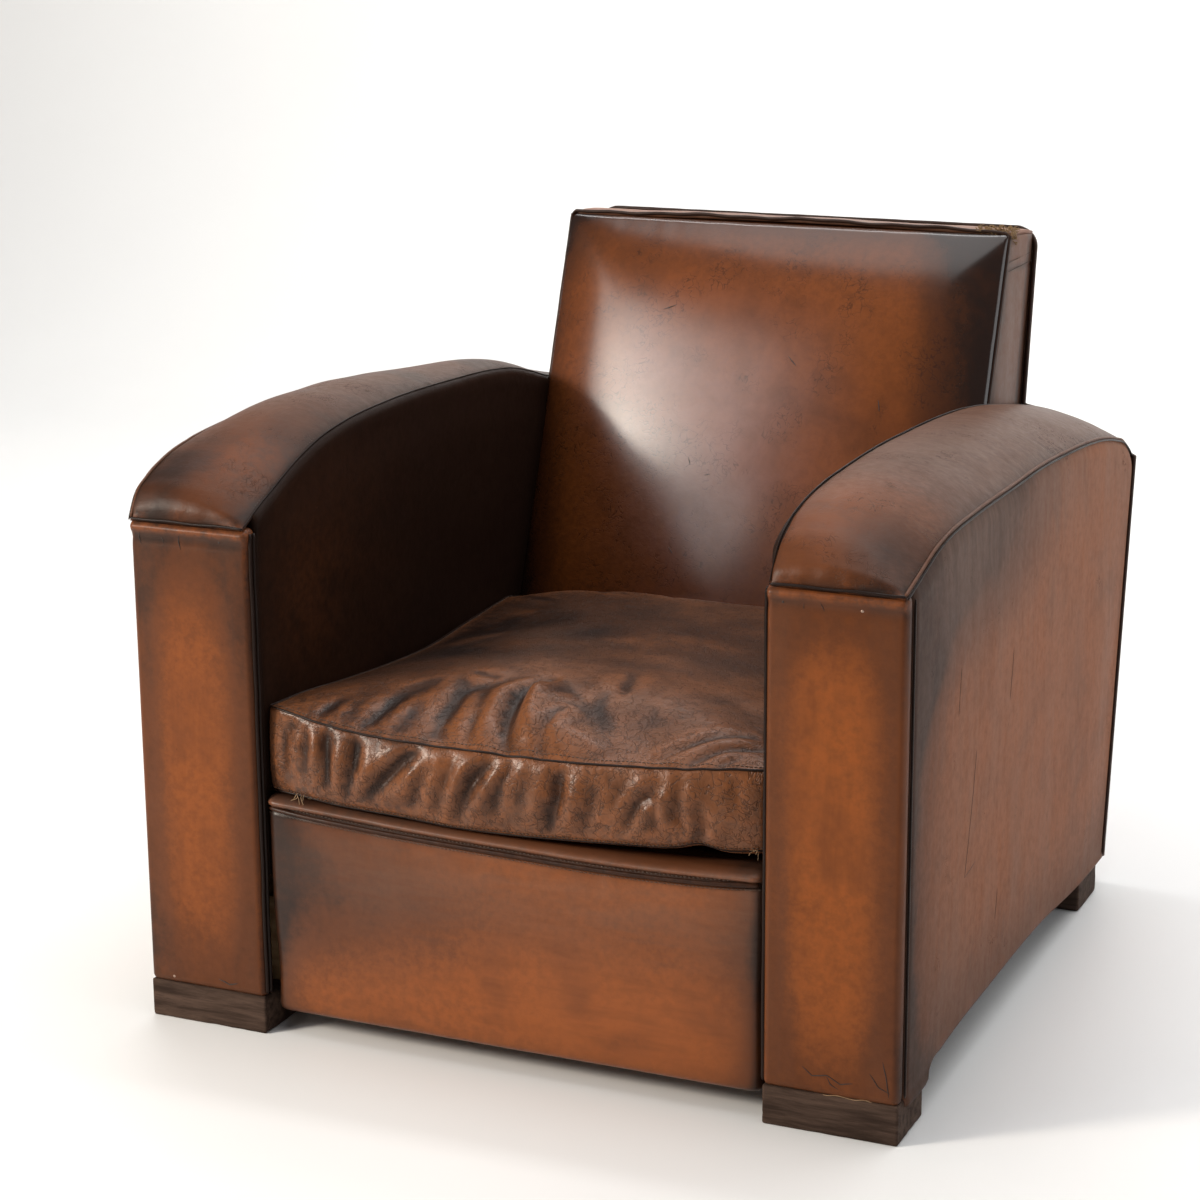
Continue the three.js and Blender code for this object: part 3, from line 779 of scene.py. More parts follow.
def build_arm_pads():
    """The padded top of each arm."""
    us = graded(SEAM_OUT - SEAM_IN, 18, 2.0, 4.2)
    vs = np.concatenate([np.linspace(0, 0.012, 8), 0.012 + 0.988 * graded(816, 36, 2.8, 4.4)[1:]])
    unit, faces = lattice(us, vs, [0, 0.5, 1])
    u, v, w = unit.T
    x = lerp(SEAM_IN, SEAM_OUT, u)
    for name, side in SIDES:
        rear = arm_rear(x, side)
        depth = v * rear
        spot = np.stack([x, depth, np.full_like(x, side)], axis=1)
        inner_run, outer_run = x - SEAM_IN, SEAM_OUT - x
        seam_run = np.minimum(inner_run, outer_run)
        top = pad_top(x, depth, side)
        settle = ease(np.minimum(seam_run, depth), 0, 26)
        top += settle * (1.2 * rough(spot, 95, 2, 3) + 0.6 * lumps(spot, (16, 60, 60), 8))
        top += 0.5 * lumps(spot, (60, 9, 60), 5) * tuck(seam_run, 22)
        top -= 1.6 * tuck(seam_run, 7)
        z = lerp(seam_line(x, depth, side) - 3, top, w)
        pucker = 0.8 * lumps(spot + [0, 0, 3 * side], (11, 60, 60), 6)
        forward = (3.5 + pucker) * ease(z, FACING_TOP + 1, FACING_TOP + 14) * tuck(depth, 26) * w
        points = to_frame(side * x, depth - forward, z)

        edge = 0.34 * np.exp(-inner_run / 7) + 0.35 * np.exp(-outer_run / 8)
        edge += 0.30 * np.clip(rough(spot, 48, 3, 15), 0, 1) * (side < 0)
        edge += 0.80 * np.exp(-(z - FACING_TOP) / 7) * tuck(depth, 30)
        edge += 0.5 * np.exp(-(rear - depth) / 30)
        edge += 0.32 + 0.50 * bump(x, ARM_OUT - 34, 34) * bump(depth, 40, 46)
        edge += (0.36 if side > 0 else 0.10) * ease(depth, 90, 300)
        edge += (0.16 + 0.22 * ease(x, SEAM_IN + 70, SEAM_IN)) * (side < 0)
        rub = 0.30 * bump(depth, 75, 60) * bump(x, SEAM_IN + 40, 40)
        rub += 0.9 * tuck(depth, 12) * np.clip(lumps(spot, 24, 12), 0, 1)
        # Haze growing towards the back of each arm: dry bloom and painted sheen of the bright room at a
        # glancing angle.
        veil = (0.36 if side > 0 else 0.26) * ease(depth, 60, 300) + 0.03
        wear = np.stack([edge, rub, veil], axis=1)
        turned = faces if side > 0 else faces[:, ::-1]
        piece = make_piece(f"arm_top_{name}", points, turned, material("arm_top"), wear)
        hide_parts(f"arm_pad_{name}")


def build_arm_fronts():
    """The flat padded facing on the front of each arm."""
    low = np.array([ARM_IN + 0.8, 0.0, FOOT_TOP - 1.5])
    high = np.array([ARM_OUT - 0.8, FACING_THICK, FACING_TOP])
    size = high - low
    us = graded(size[0], 14, 1.8, 4.6)
    ws = graded(size[2], 14, 1.8, 4.6)
    unit, faces = lattice(us, np.linspace(0, 1, 6), ws)
    points = rounded(low + unit * size, low, high, (6, 9, 8))
    x, depth, z = points.T
    u, w = unit[:, 0], unit[:, 2]
    front = ease(FACING_THICK - depth, 0, FACING_THICK)
    spot = np.stack([x, np.zeros_like(x), z], axis=1)
    side_run = np.minimum(x - low[0], high[0] - x)
    end_run = np.minimum(z - low[2], high[2] - z)
    run = np.minimum(side_run, end_run)
    swell = 2.4 * (1 - (2 * u - 1) ** 4) * (1 - (2 * w - 1) ** 8)
    swell += 0.5 * rough(spot, 70, 2, 21) * ease(run, 0, 20)
    drop = high[2] - z
    swell += 0.35 * lumps(spot, (9, 9, 40), 25) * tuck(drop, 26)
    swell += 3.2 * bump(drop, 7, 6) - 1.2 * bump(drop, 18, 5)
    swell += 0.5 * lumps(spot, (14, 9, 9), 27) * bump(drop, 8, 8)
    depth = depth - front * swell
    points = to_frame(x, depth, z)
    edge = 0.30 * bump(side_run, 13, 17) + 0.32 * bump(drop, 24, 40) + 0.30 * np.exp(-(z - low[2]) / 70)
    edge += 0.30 * np.exp(-side_run / 3) + 0.03 + 0.22 * ease(side_run, 56, 6)
    edge += 0.42 * bump(drop, 8, 9) + 0.26 * ease(drop, 130, 14) + 0.26 * ease(z, low[2] + 110, low[2])
    edge = np.minimum(0.13 + 0.72 * edge, 0.60 + 0.35 * tuck(side_run, 9) + 0.30 * bump(drop, 10, 9))
    rub = 0.45 * bump(drop, 6, 5)
    rub += 0.28 * bump(side_run, 3, 3) * np.clip(0.5 + lumps(spot, (20, 20, 70), 33), 0, 1)
    # The haze on the top lip is painted sheen of its glossy roll.
    veil = 0.03 + 0.05 * bump(side_run, 18, 16) + 0.16 * bump(drop, 7, 6)
    wear = np.stack([edge, rub, veil], axis=1)
    torn = bump(drop, 9, 6) * np.clip(1.4 * lumps(spot, (11, 9, 6), 29) + 0.2, 0, 1) * ease(x, 310, 345)
    shade = {"right": 0 * x, "left": 0.12 + 0.10 * ease(drop, 240, 60) + 0.9 * torn}
    for side, some_points, some_faces in on_both_sides(points, faces):
        shaded = wear + shade[side][:, None] * [1, 0, 0]
        name = f"arm_facing_{side}"
        piece = make_piece(name, some_points, some_faces, material("panel"), shaded)
        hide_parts(f"arm_front_panel_{side}")


def build_arm_sides():
    """The outside leather of each arm, drawn down over the frame and its feet."""
    start = FACING_THICK + COVER_GAP
    unit, faces = lattice([0, 1], graded(800, 24, 3.0, 8.0), graded(510, 26, 2.4, 7.5))
    u, v, w = unit.T
    for name, side in SIDES:
        run = lerp(start, arm_rear(np.full_like(v, SEAM_OUT), side), v)
        high = OUTER_SEAM[side](run) - 0.3
        z = lerp(SIDE_HEM(run), high, w)
        depth = run - v * REAR_LEAN * (high - z)
        spot = np.stack([np.full_like(u, 40.0 * side), depth, z], axis=1)
        top_run, hem_run, front_run = high - z, z - SIDE_HEM(run), depth - start
        rear_run = rear_face(z) - REAR_COVER - depth
        rim = np.minimum(np.minimum(top_run, hem_run), np.minimum(front_run, rear_run))
        outside = ARM_OUT + 0.8 + 2.6 * ease(rim, 0, 120)
        outside += 1.1 * rough(spot, 130, 3, 41) * ease(rim, 0, 30)
        outside += 0.6 * lumps(spot, (40, 13, 80), 44) * tuck(top_run, 50)
        outside -= 4.6 * tuck(top_run, 20) + 3.5 * tuck(front_run, 8) + 2.0 * tuck(rear_run, 8)
        outside += 1.6 * ease(FOOT_TOP + 2 - z, 0, 5)
        inside = lerp(ARM_OUT - 6, ARM_OUT - 0.4, ease(FOOT_TOP + 3 - z, 0, 4))
        points = to_frame(side * np.where(u > 0.5, outside, inside), depth, z)
        edge = 0.30 * np.exp(-front_run / 9) + 0.80 * np.exp(-front_run / 58)
        edge += 0.62 * np.exp(-hem_run / 50) + 0.30 * np.exp(-rear_run / 24)
        corner = 1.5 * bump(depth - 0.35 * (z - 480), 36, 58) * bump(z, 515, 120)
        corner = np.maximum(corner, 0.75 * bump(top_run, 44, 34) * ease(depth, 320, 60))
        edge += 1.20 * corner + 0.25 * np.exp(-top_run / 10)
        edge += 0.14 * ease(depth, 520, 120) + 0.10 * bump(z, 90, 60)
        edge += 0.85 * ease(top_run, 190, 20) * ease(depth, 700, 260)
        rub = 0.25 * bump(hem_run, 6, 9) * np.clip(lumps(spot, 30, 51), 0, 1)
        # Haze on the sides: dry bloom and painted sheen of the bright room seen at a glancing angle.
        veil = 0.36 - 0.16 * ease(depth, 120, 20) + 0.12 * bump(top_run, 30, 40) * ease(depth, 90, 260)
        veil += 0.14 * lumps(spot, (60, 40, 200), 52) + 0.04 * ease(z, 260, 60)
        wear = np.stack([edge, rub, veil], axis=1)
        turned = faces if side > 0 else faces[:, ::-1]
        piece = make_piece(f"arm_outside_{name}", points, turned, material("side"), wear)
        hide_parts(f"arm_side_panel_{name}")


def build_arm_insides():
    """The padded inner face of each arm."""
    node_low, node_high = box_mm("arm_inner_panel_right")
    start = FACING_THICK + COVER_GAP
    unit, faces = lattice(np.linspace(0, 1, 4), graded(800, 24, 3.0, 9.0), graded(420, 20, 2.2, 9.0))
    u, v, w = unit.T
    for name, side in SIDES:
        run = lerp(start, arm_rear(np.full_like(v, SEAM_IN), side) - 6, v)
        high = INNER_SEAM[side](run) - 0.3
        z = lerp(node_low[2], high, w)
        depth = run - v * REAR_LEAN * (high - z)
        spot = np.stack([np.full_like(u, side), depth, z], axis=1)
        top_run, front_run = high - z, depth - start
        swell = 3.0 * ease(np.minimum(top_run, front_run), 0, 60) + 1.2 * rough(spot, 110, 2, 61)
        swell += 0.6 * lumps(spot, (40, 12, 60), 63) * tuck(top_run, 30)
        swell += 1.6 * bump(top_run, 12, 14) - 4.6 * tuck(top_run, 7) - 2.0 * tuck(front_run, 8)
        inner = ARM_IN - swell * ease(w, 0.0, 0.2)
        outer = np.maximum(node_high[0], inner + 2.5)
        points = to_frame(side * lerp(inner, outer, u), depth, z)
        # Edge darkness here is patina and painted shade of the hollow, growing towards the back.
        edge = 0.90 + 0.3 * np.exp(-top_run / 8) + 0.35 * np.exp(-front_run / 20)
        edge += 0.35 * ease(depth, 250, 560)
        edge -= 0.50 * bump(depth, 110, 170) * bump(z, 430, 150)
        wear = np.stack([edge, 0.0 * u, 0.03 + 0.0 * u], axis=1)
        turned = faces if side > 0 else faces[:, ::-1]
        piece = make_piece(f"arm_inside_{name}", points, turned, material("inside"), wear)
        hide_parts(f"arm_inner_panel_{name}")


def arm_welt_paths(side):
    """Seams round the top of the right-hand shape of an arm: inner, front and outer."""
    along = np.linspace(0, 1, 200)
    inner_x, outer_x = SEAM_IN - 0.2, SEAM_OUT + 0.6
    inner_depth, outer_depth = along * arm_rear(inner_x, side), along * arm_rear(outer_x, side)
    inner = to_frame(inner_x, inner_depth, INNER_SEAM[side](inner_depth) + 0.5)
    outer = to_frame(outer_x, outer_depth, OUTER_SEAM[side](outer_depth) + 0.2)
    across = np.linspace(SEAM_IN, SEAM_OUT, 30)
    front = to_frame(across, -1.2, FACING_TOP + 1.0 + 0.4 * np.sin(across / 9))
    return inner, front, outer


def handed(side, points, faces):
    """A right-hand mesh, mirrored when the side is -1."""
    return points * [side, 1, 1], faces if side > 0 else [face[::-1] for face in faces]


def build_arm_welts():
    """Piping in the arm seams, and beside the facings."""
    radius = welt_radius()
    z = np.linspace(FOOT_TOP + 3, FACING_TOP - 5, 120)
    inner_edge = to_frame(ARM_IN - 0.4, 10 + 0.6 * lumps(np.stack([z, z, z], 1), 60, 71), z)
    outer_edge = to_frame(ARM_OUT + 0.2, FACING_THICK - 1.0, z)
    for name, side in SIDES:
        inner, front, outer = arm_welt_paths(side)
        pipes = (
            (inner, PIPE_STEP, 0.26), (front, 3, 0.5), (outer + [1.0, 0, -2.2], PIPE_STEP, 0.36),
            (inner_edge, PIPE_STEP, 0.9), (inner_edge + [1.0, -5.0, 0], PIPE_STEP, 0.8),
            (outer_edge, PIPE_STEP, 0.42),
        )
        thick = [
            tube(resample(path, step), share * radius, seed=seed)
            for seed, (path, step, share) in enumerate(pipes, start=1)
        ]
        points, faces = handed(side, *merged(thick))
        wear = plain_wear(points, 1.0)
        make_piece(f"arm_welts_{name}", points, faces, material("welt"), wear)
        lap = tube(resample(outer + [-1.6, 0, 0.2], PIPE_STEP), 0.62 * radius, seed=9)
        points, faces = handed(side, *lap)
        wear = plain_wear(points, 0.56, 0.05, 0.3)
        make_piece(f"arm_lap_{name}", points, faces, material("arm_top"), wear)

        run = np.linspace(8, 815, 300)
        rows = []
        for x, away in ((SEAM_OUT - 3.6, 0.65), (SEAM_IN + 3.4, -0.65)):
            path = to_frame(x, run, pad_top(x, run, side) - 1.2)
            rows.append(stitches(path, [away, 0, 0.75], seed=4))
        points, faces = handed(side, *merged(rows))
        make_piece(f"arm_stitches_{name}", points, faces, material("thread"))


# ---- back ------------------------------------------------------------------------------------

BACK_LOW, BACK_THICK = 244.0, 40
BORDER_LOW = 320
BACK_CORNER = 22.0


def build_back_pad():
    """The tight crowned inside back."""
    look = bpy.context.scene.chair_sizes
    half = BACK_HALF - 1.5
    high_z = BACK_TOP - 2.0
    us = graded(2 * half, 60, 4.0, 6.0)
    ws = graded(high_z - BACK_LOW, 50, 3.6, 6.0)
    unit, faces = lattice(us, np.linspace(0, 1, 5), ws)
    u, v, w = unit.T
    x = lerp(-half, half, u)
    z = lerp(BACK_LOW, high_z, w)
    side_run = half - np.abs(x)
    top_run = high_z - z
    low_run = z - BACK_LOW
    side_rise = 1 - (1 - np.clip(side_run / 175, 0, 1)) ** 3.2
    top_rise = 1 - (1 - np.clip(top_run / 135, 0, 1)) ** 3.2
    low_rise = 1 - (1 - np.clip(low_run / 170, 0, 1)) ** 3.2
    sharp = 7
    total = np.exp(-sharp * side_rise) + np.exp(-sharp * top_rise) + np.exp(-sharp * low_rise)
    least = -np.log(total) / sharp
    least = np.clip(least + np.log(3) / sharp, 0, 1.1) / (1 + np.log(3) / sharp)
    spot = np.stack([x, np.zeros_like(x), z], axis=1)
    dome = (1 - (x / half) ** 2) * (1 - ((z - 490) / 300) ** 2)
    crown = look.back_crown / MM * least + 20 * dome
    crown += 1.6 * rough(spot, 150, 2, 81) * least
    crown += 0.8 * lumps(spot, (13, 13, 60), 83) * tuck(top_run, 34) * ease(top_run, 0, 5)
    crown += 0.7 * lumps(spot, (60, 13, 15), 84) * tuck(side_run, 34) * ease(side_run, 0, 5)
    front = back_front(z) - crown
    rear = back_front(z) + BACK_THICK
    points = to_frame(x, lerp(front, rear, v), z)
    edge = 0.60 * np.exp(-side_run / 24) + 0.50 * np.exp(-top_run / 16) + 0.22 * ease(top_run, 90, 30)
    edge += 0.22 * ease(z, 440, 320) + 0.04
    # Painted shade: the right flank darker, and the lower left darker where the left arm hides the window.
    edge += 0.62 * ease(x, 150, 225) + 0.22 * ease(x, -190, -245) * ease(z, 560, 440)
    rub = 0.10 * bump(x, 150, 60) * bump(z, 520, 130) + 0.16 * bump(x, -90, 110) * bump(z, 655, 26)
    # Painted reflection and highlight: a broad mauve reflection in the middle, and the painted highlight of
    # the window on the left.
    veil = 0.75 * bump(x, -30, 100) * bump(z, 470, 140) + 0.45 * bump(x, -150, 60) * bump(z, 560, 70)
    wear = np.stack([edge, rub, veil], axis=1)
    piece = make_piece("inside_back", points, faces, material("tight"), wear)
    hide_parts("back_pad")


def build_back_border():
    """The leather strips between the front and rear welts of the back."""
    us = graded(2 * BACK_HALF, 12, 2.0, 5.0)
    unit, faces = lattice(us, np.linspace(0, 1, 22), [0, 1])
    u, v, w = unit.T
    x = lerp(-BACK_HALF, BACK_HALF, u)
    depth = lerp(back_front(BACK_TOP) + 1, rear_face(REAR_TOP) - REAR_COVER - 2, v)
    spot = np.stack([x, depth, np.zeros_like(x)], axis=1)
    top = lerp(BACK_TOP + 0.5, REAR_TOP - 1.5, v) + 2.5 * np.sin(np.pi * v)
    top += 3.5 * (1 - (x / BACK_HALF) ** 2) * (1 - v)
    top += 0.9 * rough(spot, 60, 2, 91) * np.sin(np.pi * v) - 1.2 * tuck(BACK_HALF - np.abs(x), 9)
    z = top - 4 * (1 - w)
    run = np.minimum(v, 1 - v) * 92
    edge = 0.5 * np.exp(-run / 8) + 0.20 * bump(x, 60, 190) + 0.27
    wear = np.stack([edge, 0.1 + 0 * u, 0.45 + 0 * u], axis=1)
    piece = make_piece("border_top", to_frame(x, depth, z), faces, material("panel"), wear)
    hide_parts("back_border_top")

    high_z = BACK_TOP + 0.2
    unit, faces = lattice([0, 1], np.linspace(0, 1, 24), graded(high_z - BORDER_LOW, 20, 2.5, 6.0))
    u, v, w = unit.T
    high_z = lerp(high_z, REAR_TOP - 1.0, v)
    z = lerp(BORDER_LOW, high_z, w)
    depth = lerp(back_front(z) + 1, rear_face(z) - REAR_COVER - 2, v)
    depth += 5.0 * ease(z, high_z - 14, high_z) * (1 - v)
    spot = np.stack([np.zeros_like(z), depth, z], axis=1)
    seam = high_z - BORDER_SEAM_DROP
    out = BACK_HALF + 0.2 + 1.8 * np.sin(np.pi * v) + 0.8 * rough(spot, 60, 2, 95) * np.sin(np.pi * v)
    out += 0.7 * lumps(spot, (60, 26, 200), 97) - 1.3 * bump(z, seam, 2.2)
    out -= 5.0 * ease(z, high_z - 9, high_z) ** 2
    x = np.where(u > 0.5, out, BACK_HALF - 4)
    run = np.minimum(v, 1 - v) * 100
    edge = 0.75 * np.exp(-run / 8) + 0.66 + 0.9 * bump(z, seam, 1.6)
    edge += 0.5 * ease(depth - rear_face(z), -46, -36)
    veil = 0.26 - 0.20 * lumps(spot, (60, 14, 200), 98)
    wear = np.stack([edge, 0.08 + 0 * u, veil], axis=1)
    for side, some_points, some_faces in on_both_sides(to_frame(x, depth, z), faces):
        piece = make_piece(f"border_{side}", some_points, some_faces, material("panel"), wear)
        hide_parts(f"back_border_side_{side}")


def rear_half_width(z):
    """Half the width of the outside back: as wide as the arms below, and as the back above."""
    shoulder_x = np.linspace(ARM_OUT, BACK_HALF + 3, 60)
    shoulder_z = pad_top(shoulder_x, arm_rear(shoulder_x))
    order = np.argsort(shoulder_z)
    width = np.interp(z, shoulder_z[order], shoulder_x[order])
    over = np.clip((z - (REAR_TOP - BACK_CORNER)) / BACK_CORNER, 0, 1)
    return width - BACK_CORNER * (1 - np.sqrt(1 - over**2 * 0.98))


def build_outside_back():
    """The leather cover on the rear, drawn tight over the frame."""
    low = box_mm("outside_back_panel")[0][2]
    shoulder = pad_top(ARM_OUT - 2.0, arm_rear(ARM_OUT - 2.0))
    zs = np.concatenate([
        np.linspace(low, low + 16, 6), np.linspace(low + 22, shoulder - 12, 56),
        np.linspace(shoulder - 8, 536, 34), np.linspace(542, REAR_TOP - 26, 28),
        np.linspace(REAR_TOP - 24, REAR_TOP, 14),
    ])
    ws = (zs - low) / (REAR_TOP - low)
    unit, faces = lattice(graded(800, 22, 2.6, 9.0), np.linspace(0, 1, 6), ws)
    u, v, w = unit.T
    z = lerp(low, REAR_TOP, w)
    half = rear_half_width(z)
    x = lerp(-half, half, u)
    spot = np.stack([x, np.zeros_like(x), z], axis=1)
    side_run = half - np.abs(x)
    rim = np.minimum(side_run, np.minimum(z - low, REAR_TOP - z))
    depth = rear_face(z) - REAR_COVER + v * REAR_COVER
    depth -= v * 6.0 * tuck(rim, 10)
    depth += v * (2.2 * ease(rim, 0, 120) + 0.9 * rough(spot, 140, 3, 101) * ease(rim, 0, 30))
    pull = 2.2 * np.sin(np.pi * v)
    x = x + np.sign(x) * pull * ease(side_run, 3, 0)
    edge = 0.85 * np.exp(-side_run / 16) + 0.60 * np.exp(-(z - low) / 34)
    edge += 0.55 * np.exp(-(REAR_TOP - z) / 18) + 0.14
    edge += 0.20 * bump(z, 560, 60) * ease(side_run, 90, 10)
    edge = np.where(v < 0.9, np.maximum(edge, 0.75), edge)
    rub = 0.20 * bump(z, 640, 60) * bump(x, 0, 200)
    veil = 0.42 + 0.14 * lumps(spot, (60, 60, 200), 103) + 0.2 * ease(z, 260, 60)
    wear = np.stack([edge, rub, veil], axis=1)
    piece = make_piece("outside_back", to_frame(x, depth, z), faces, material("side"), wear)
    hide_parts("outside_back_panel")


def build_back_welts():
    """Piping round the front of the back and round the outside cover."""
    radius = welt_radius()
    z = np.linspace(300, BACK_TOP - 3, 150)
    across = np.linspace(BACK_HALF - 5, 5 - BACK_HALF, 160)
    right = to_frame(BACK_HALF - 0.6, back_front(z) - 0.5, z)
    wave = 0.7 * np.sin(across / 23) + 0.5 * np.sin(across / 9.1)
    top_z = BACK_TOP + 0.6 + wave + 3.5 * (1 - (across / BACK_HALF) ** 2)
    top = to_frame(across, back_front(BACK_TOP) - 0.8, top_z)
    left = right * [-1, 1, 1]
    front_loop = np.concatenate([right, top, left[::-1]])
    parts = [tube(resample(front_loop, 3.5), 0.72 * radius, seed=11)]

    high = np.linspace(36, REAR_TOP - 0.5, 420)
    half = rear_half_width(high) + 0.8
    edge = to_frame(half, rear_face(high) - REAR_COVER - 1.0, high)
    span = np.linspace(half[-1] - 3, 3 - half[-1], 120)
    over = to_frame(span, rear_face(REAR_TOP) - REAR_COVER - 1.0, REAR_TOP + 0.4)
    rear_loop = np.concatenate([edge, over, (edge * [-1, 1, 1])[::-1]])
    parts.append(tube(resample(rear_loop, 3.5), 0.9 * radius, seed=12))
    points, faces = merged(parts)
    wear = plain_wear(points, 0.9, 0.06, 0.03)
    make_piece("back_welts", points, faces, material("welt"), wear)

    rows = []
    seam = BACK_TOP + 0.2 - BORDER_SEAM_DROP
    for shift in (-5.0, 5.0):
        z = seam + shift
        depth = np.linspace(back_front(z) + 5, rear_face(z) - REAR_COVER - 6, 40)
        row = to_frame(BACK_HALF + 1.8, depth, z)
        rows.append(stitches(row, [1, 0, 0], seed=int(20 + shift)))
    for name, side in SIDES:
        points, faces = handed(side, *merged(rows))
        make_piece(f"border_stitches_{name}", points, faces, material("thread"))


# ---- seat ------------------------------------------------------------------------------------

APRON_WELT = smooth_profile([
    (-263, 239), (-200, 236), (-112, 232), (0, 229), (100, 227), (200, 229), (262, 232),
])
APRON_LOW, APRON_TOP = 23.0, 243.0
APRON_FRONT, APRON_REAR = 9.0, 46.0
ROLL_HIGH = 14


def build_apron():
    """The padded front under the cushion, rolled over the seat's front edge above its welt."""
    half = ARM_IN - 2.5
    us = graded(2 * half, 26, 2.6, 5.0)
    ws = np.concatenate([
        np.linspace(0, 0.06, 6), np.linspace(0.085, 0.88, 40), np.linspace(0.89, 1, 20),
    ])
    unit, faces = lattice(us, np.linspace(0, 1, 12), ws)
    u, v, w = unit.T
    x = lerp(-half, half, u)
    welt = APRON_WELT(x)
    level = lerp(APRON_LOW, APRON_TOP, w)
    block = np.stack([x, lerp(APRON_FRONT, APRON_REAR, v), level], axis=1)
    low_corner = np.array([-half, APRON_FRONT, APRON_LOW])
    turned = rounded(block, low_corner, np.array([half, APRON_REAR, APRON_TOP]), (12, 12, 9))
    x, depth = turned[:, 0], turned[:, 1]
    z = lerp(APRON_LOW, welt + ROLL_HIGH, w) + (turned[:, 2] - level)
    front = ease(APRON_REAR - depth, 4, 26)
    spot = np.stack([x, np.zeros_like(x), z], axis=1)
    side_run = half - np.abs(x)
    below = welt - z
    swell = 6.5 * (1 - (2 * u - 1) ** 4) * np.clip(1 - (2 * np.clip(w / 0.92, 0, 1) - 1) ** 4, 0, 1)
    swell += 1.3 * rough(spot, 120, 2, 111) * ease(side_run, 0, 40)
    swell += 1.6 * bump(x, -60, 70) * bump(z, 90, 50) + 2.0 * bump(x, 190, 60) * bump(z, 60, 40)
    swell += 0.7 * lumps(spot, (16, 20, 50), 113) * bump(below, 12, 14)
    swell -= 3.4 * bump(below, 0, 3.6)
    band = np.clip(-below, 0, ROLL_HIGH)
    swell += 3.2 * np.sin(np.pi * np.clip(band / 12, 0, 1)) * (below < 0)
    depth = depth - front * swell
    pulled = 5.0 * bump(z, 60, 60) * ease(side_run, 60, 0) * np.sign(x) * (x < 0)
    x = x - pulled
    edge = 0.90 * np.exp(-side_run / 20) + 0.9 * bump(below, 0, 4) + 0.58 * (below < -2)
    edge += 0.35 * np.exp(-(z - APRON_LOW) / 14) + 0.11
    edge += 0.25 * bump(z, 170, 50) + 0.46 * ease(x, 60, -240) * ease(z, 30, 130)
    rub = 0.20 * bump(x, 120, 140) * bump(z, 60, 50) + 0.26 * bump(band, 6, 5) * (below < 0)
    veil = (0.22 * bump(z, 195, 46) + 0.05) * ease(x, -300, -120)
    # Haze on the rolled band is a painted highlight.
    veil += 0.42 * bump(band, 7, 4) * (below < 0)
    wear = np.stack([edge, rub, veil], axis=1)
    piece = make_piece("front_apron", to_frame(x, depth, z), faces, material("apron"), wear)
    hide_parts("seat_front_apron")

    across = np.linspace(4 - half, half - 4, 150)
    path = to_frame(across, APRON_FRONT - 5.5 + 9 * (across / half) ** 8, APRON_WELT(across))
    points, faces = tube(resample(path, 3.5), 0.85 * welt_radius(), seed=14)
    wear = plain_wear(points, 0.8, 0.15, 0.05)
    make_piece("apron_welt", points, faces, material("welt"), wear)
    rows = [stitches(path + [0, 0.6, shift], [0, -1, 0], seed=15) for shift in (-4.6, 4.0)]
    points, faces = merged(rows)
    make_piece("apron_stitches", points, faces, material("thread"))


FRONT_SEAM = smooth_profile([
    (-263, 341), (-221, 334), (-155, 328), (-90, 327), (0, 327), (60, 328), (120, 331), (180, 334),
    (240, 339), (263, 339),
])
FRONT_HEM = smooth_profile([
    (-263, 251), (-224, 251), (-180, 248), (-114, 246), (-49, 243), (15, 244), (56, 246), (118, 250),
    (176, 255), (199, 261), (219, 257), (263, 260),
])
SIDE_SEAM = smooth_profile([
    (10, 341), (83, 337), (165, 328), (253, 320), (345, 314), (450, 316), (577, 318),
])

# Each crease has its path, its width and its depth. Paths on the top are across and back, and paths on the
# border are across and up.
TOP_CREASES = (
    ([(-10, 138), (-26, 100), (-14, 52), (4, 8)], 8.5, 10.0),
    ([(-88, 108), (-80, 58), (-72, 8)], 9.0, 3.4),
    ([(62, 182), (76, 118)], 8.0, 2.4),
    ([(150, 10), (190, 52), (226, 84)], 6.0, 4.2),
    ([(185, 10), (212, 40), (246, 62)], 5.5, 3.8),
    ([(212, 10), (234, 36)], 5.0, 3.2),
    ([(-98, 142), (-58, 130)], 6.0, 2.0),
    ([(40, 8), (30, 34), (34, 56)], 5.0, 3.0),
    ([(-40, 12), (-48, 48)], 5.0, 2.4),
    ([(-150, 14), (-138, 72)], 8.0, 2.6),
    ([(-205, 14), (-196, 50)], 7.0, 2.2),
)
BORDER_CREASES = (
    ([(-192, 333), (-188, 300), (-186, 264)], 6.5, 7.0),
    ([(-214, 326), (-210, 288)], 5.5, 4.0),
    ([(-157, 328), (-156, 300), (-166, 268)], 6.5, 6.5),
    ([(-84, 328), (-112, 300), (-142, 270)], 7.5, 9.0),
    ([(-78, 306), (-92, 270)], 6.0, 5.0),
    ([(-48, 316), (-68, 266)], 6.5, 5.5),
    ([(0, 328), (-30, 298), (-48, 258)], 7.5, 8.5),
    ([(16, 328), (0, 300), (-8, 276)], 5.5, 5.5),
    ([(62, 324), (58, 292), (50, 260)], 8.0, 9.5),
    ([(98, 304), (88, 274)], 6.0, 3.0),
    ([(165, 320), (142, 300), (126, 270)], 5.4, 5.5),
    ([(182, 330), (180, 300), (186, 280)], 5.0, 5.5),
    ([(150, 310), (160, 296), (156, 276)], 4.2, 3.6),
    ([(168, 304), (176, 288)], 4.0, 3.4),
    ([(199, 262), (206, 286), (200, 302)], 5.4, 6.0),
    ([(232, 336), (236, 302)], 5.4, 3.6),
    ([(-240, 322), (-238, 276)], 6.0, 3.0),
)
CASE_SIZE = (526, 566, 88)
CASE_STEP = 5.2
CASE_GROWTH = 0.10
CASE_MOVE = 0.013
SETTLE_FRAMES = 18
REAR_SEAM = 320.0
ON_TOP = 0.999
AT_RIM = 0.01


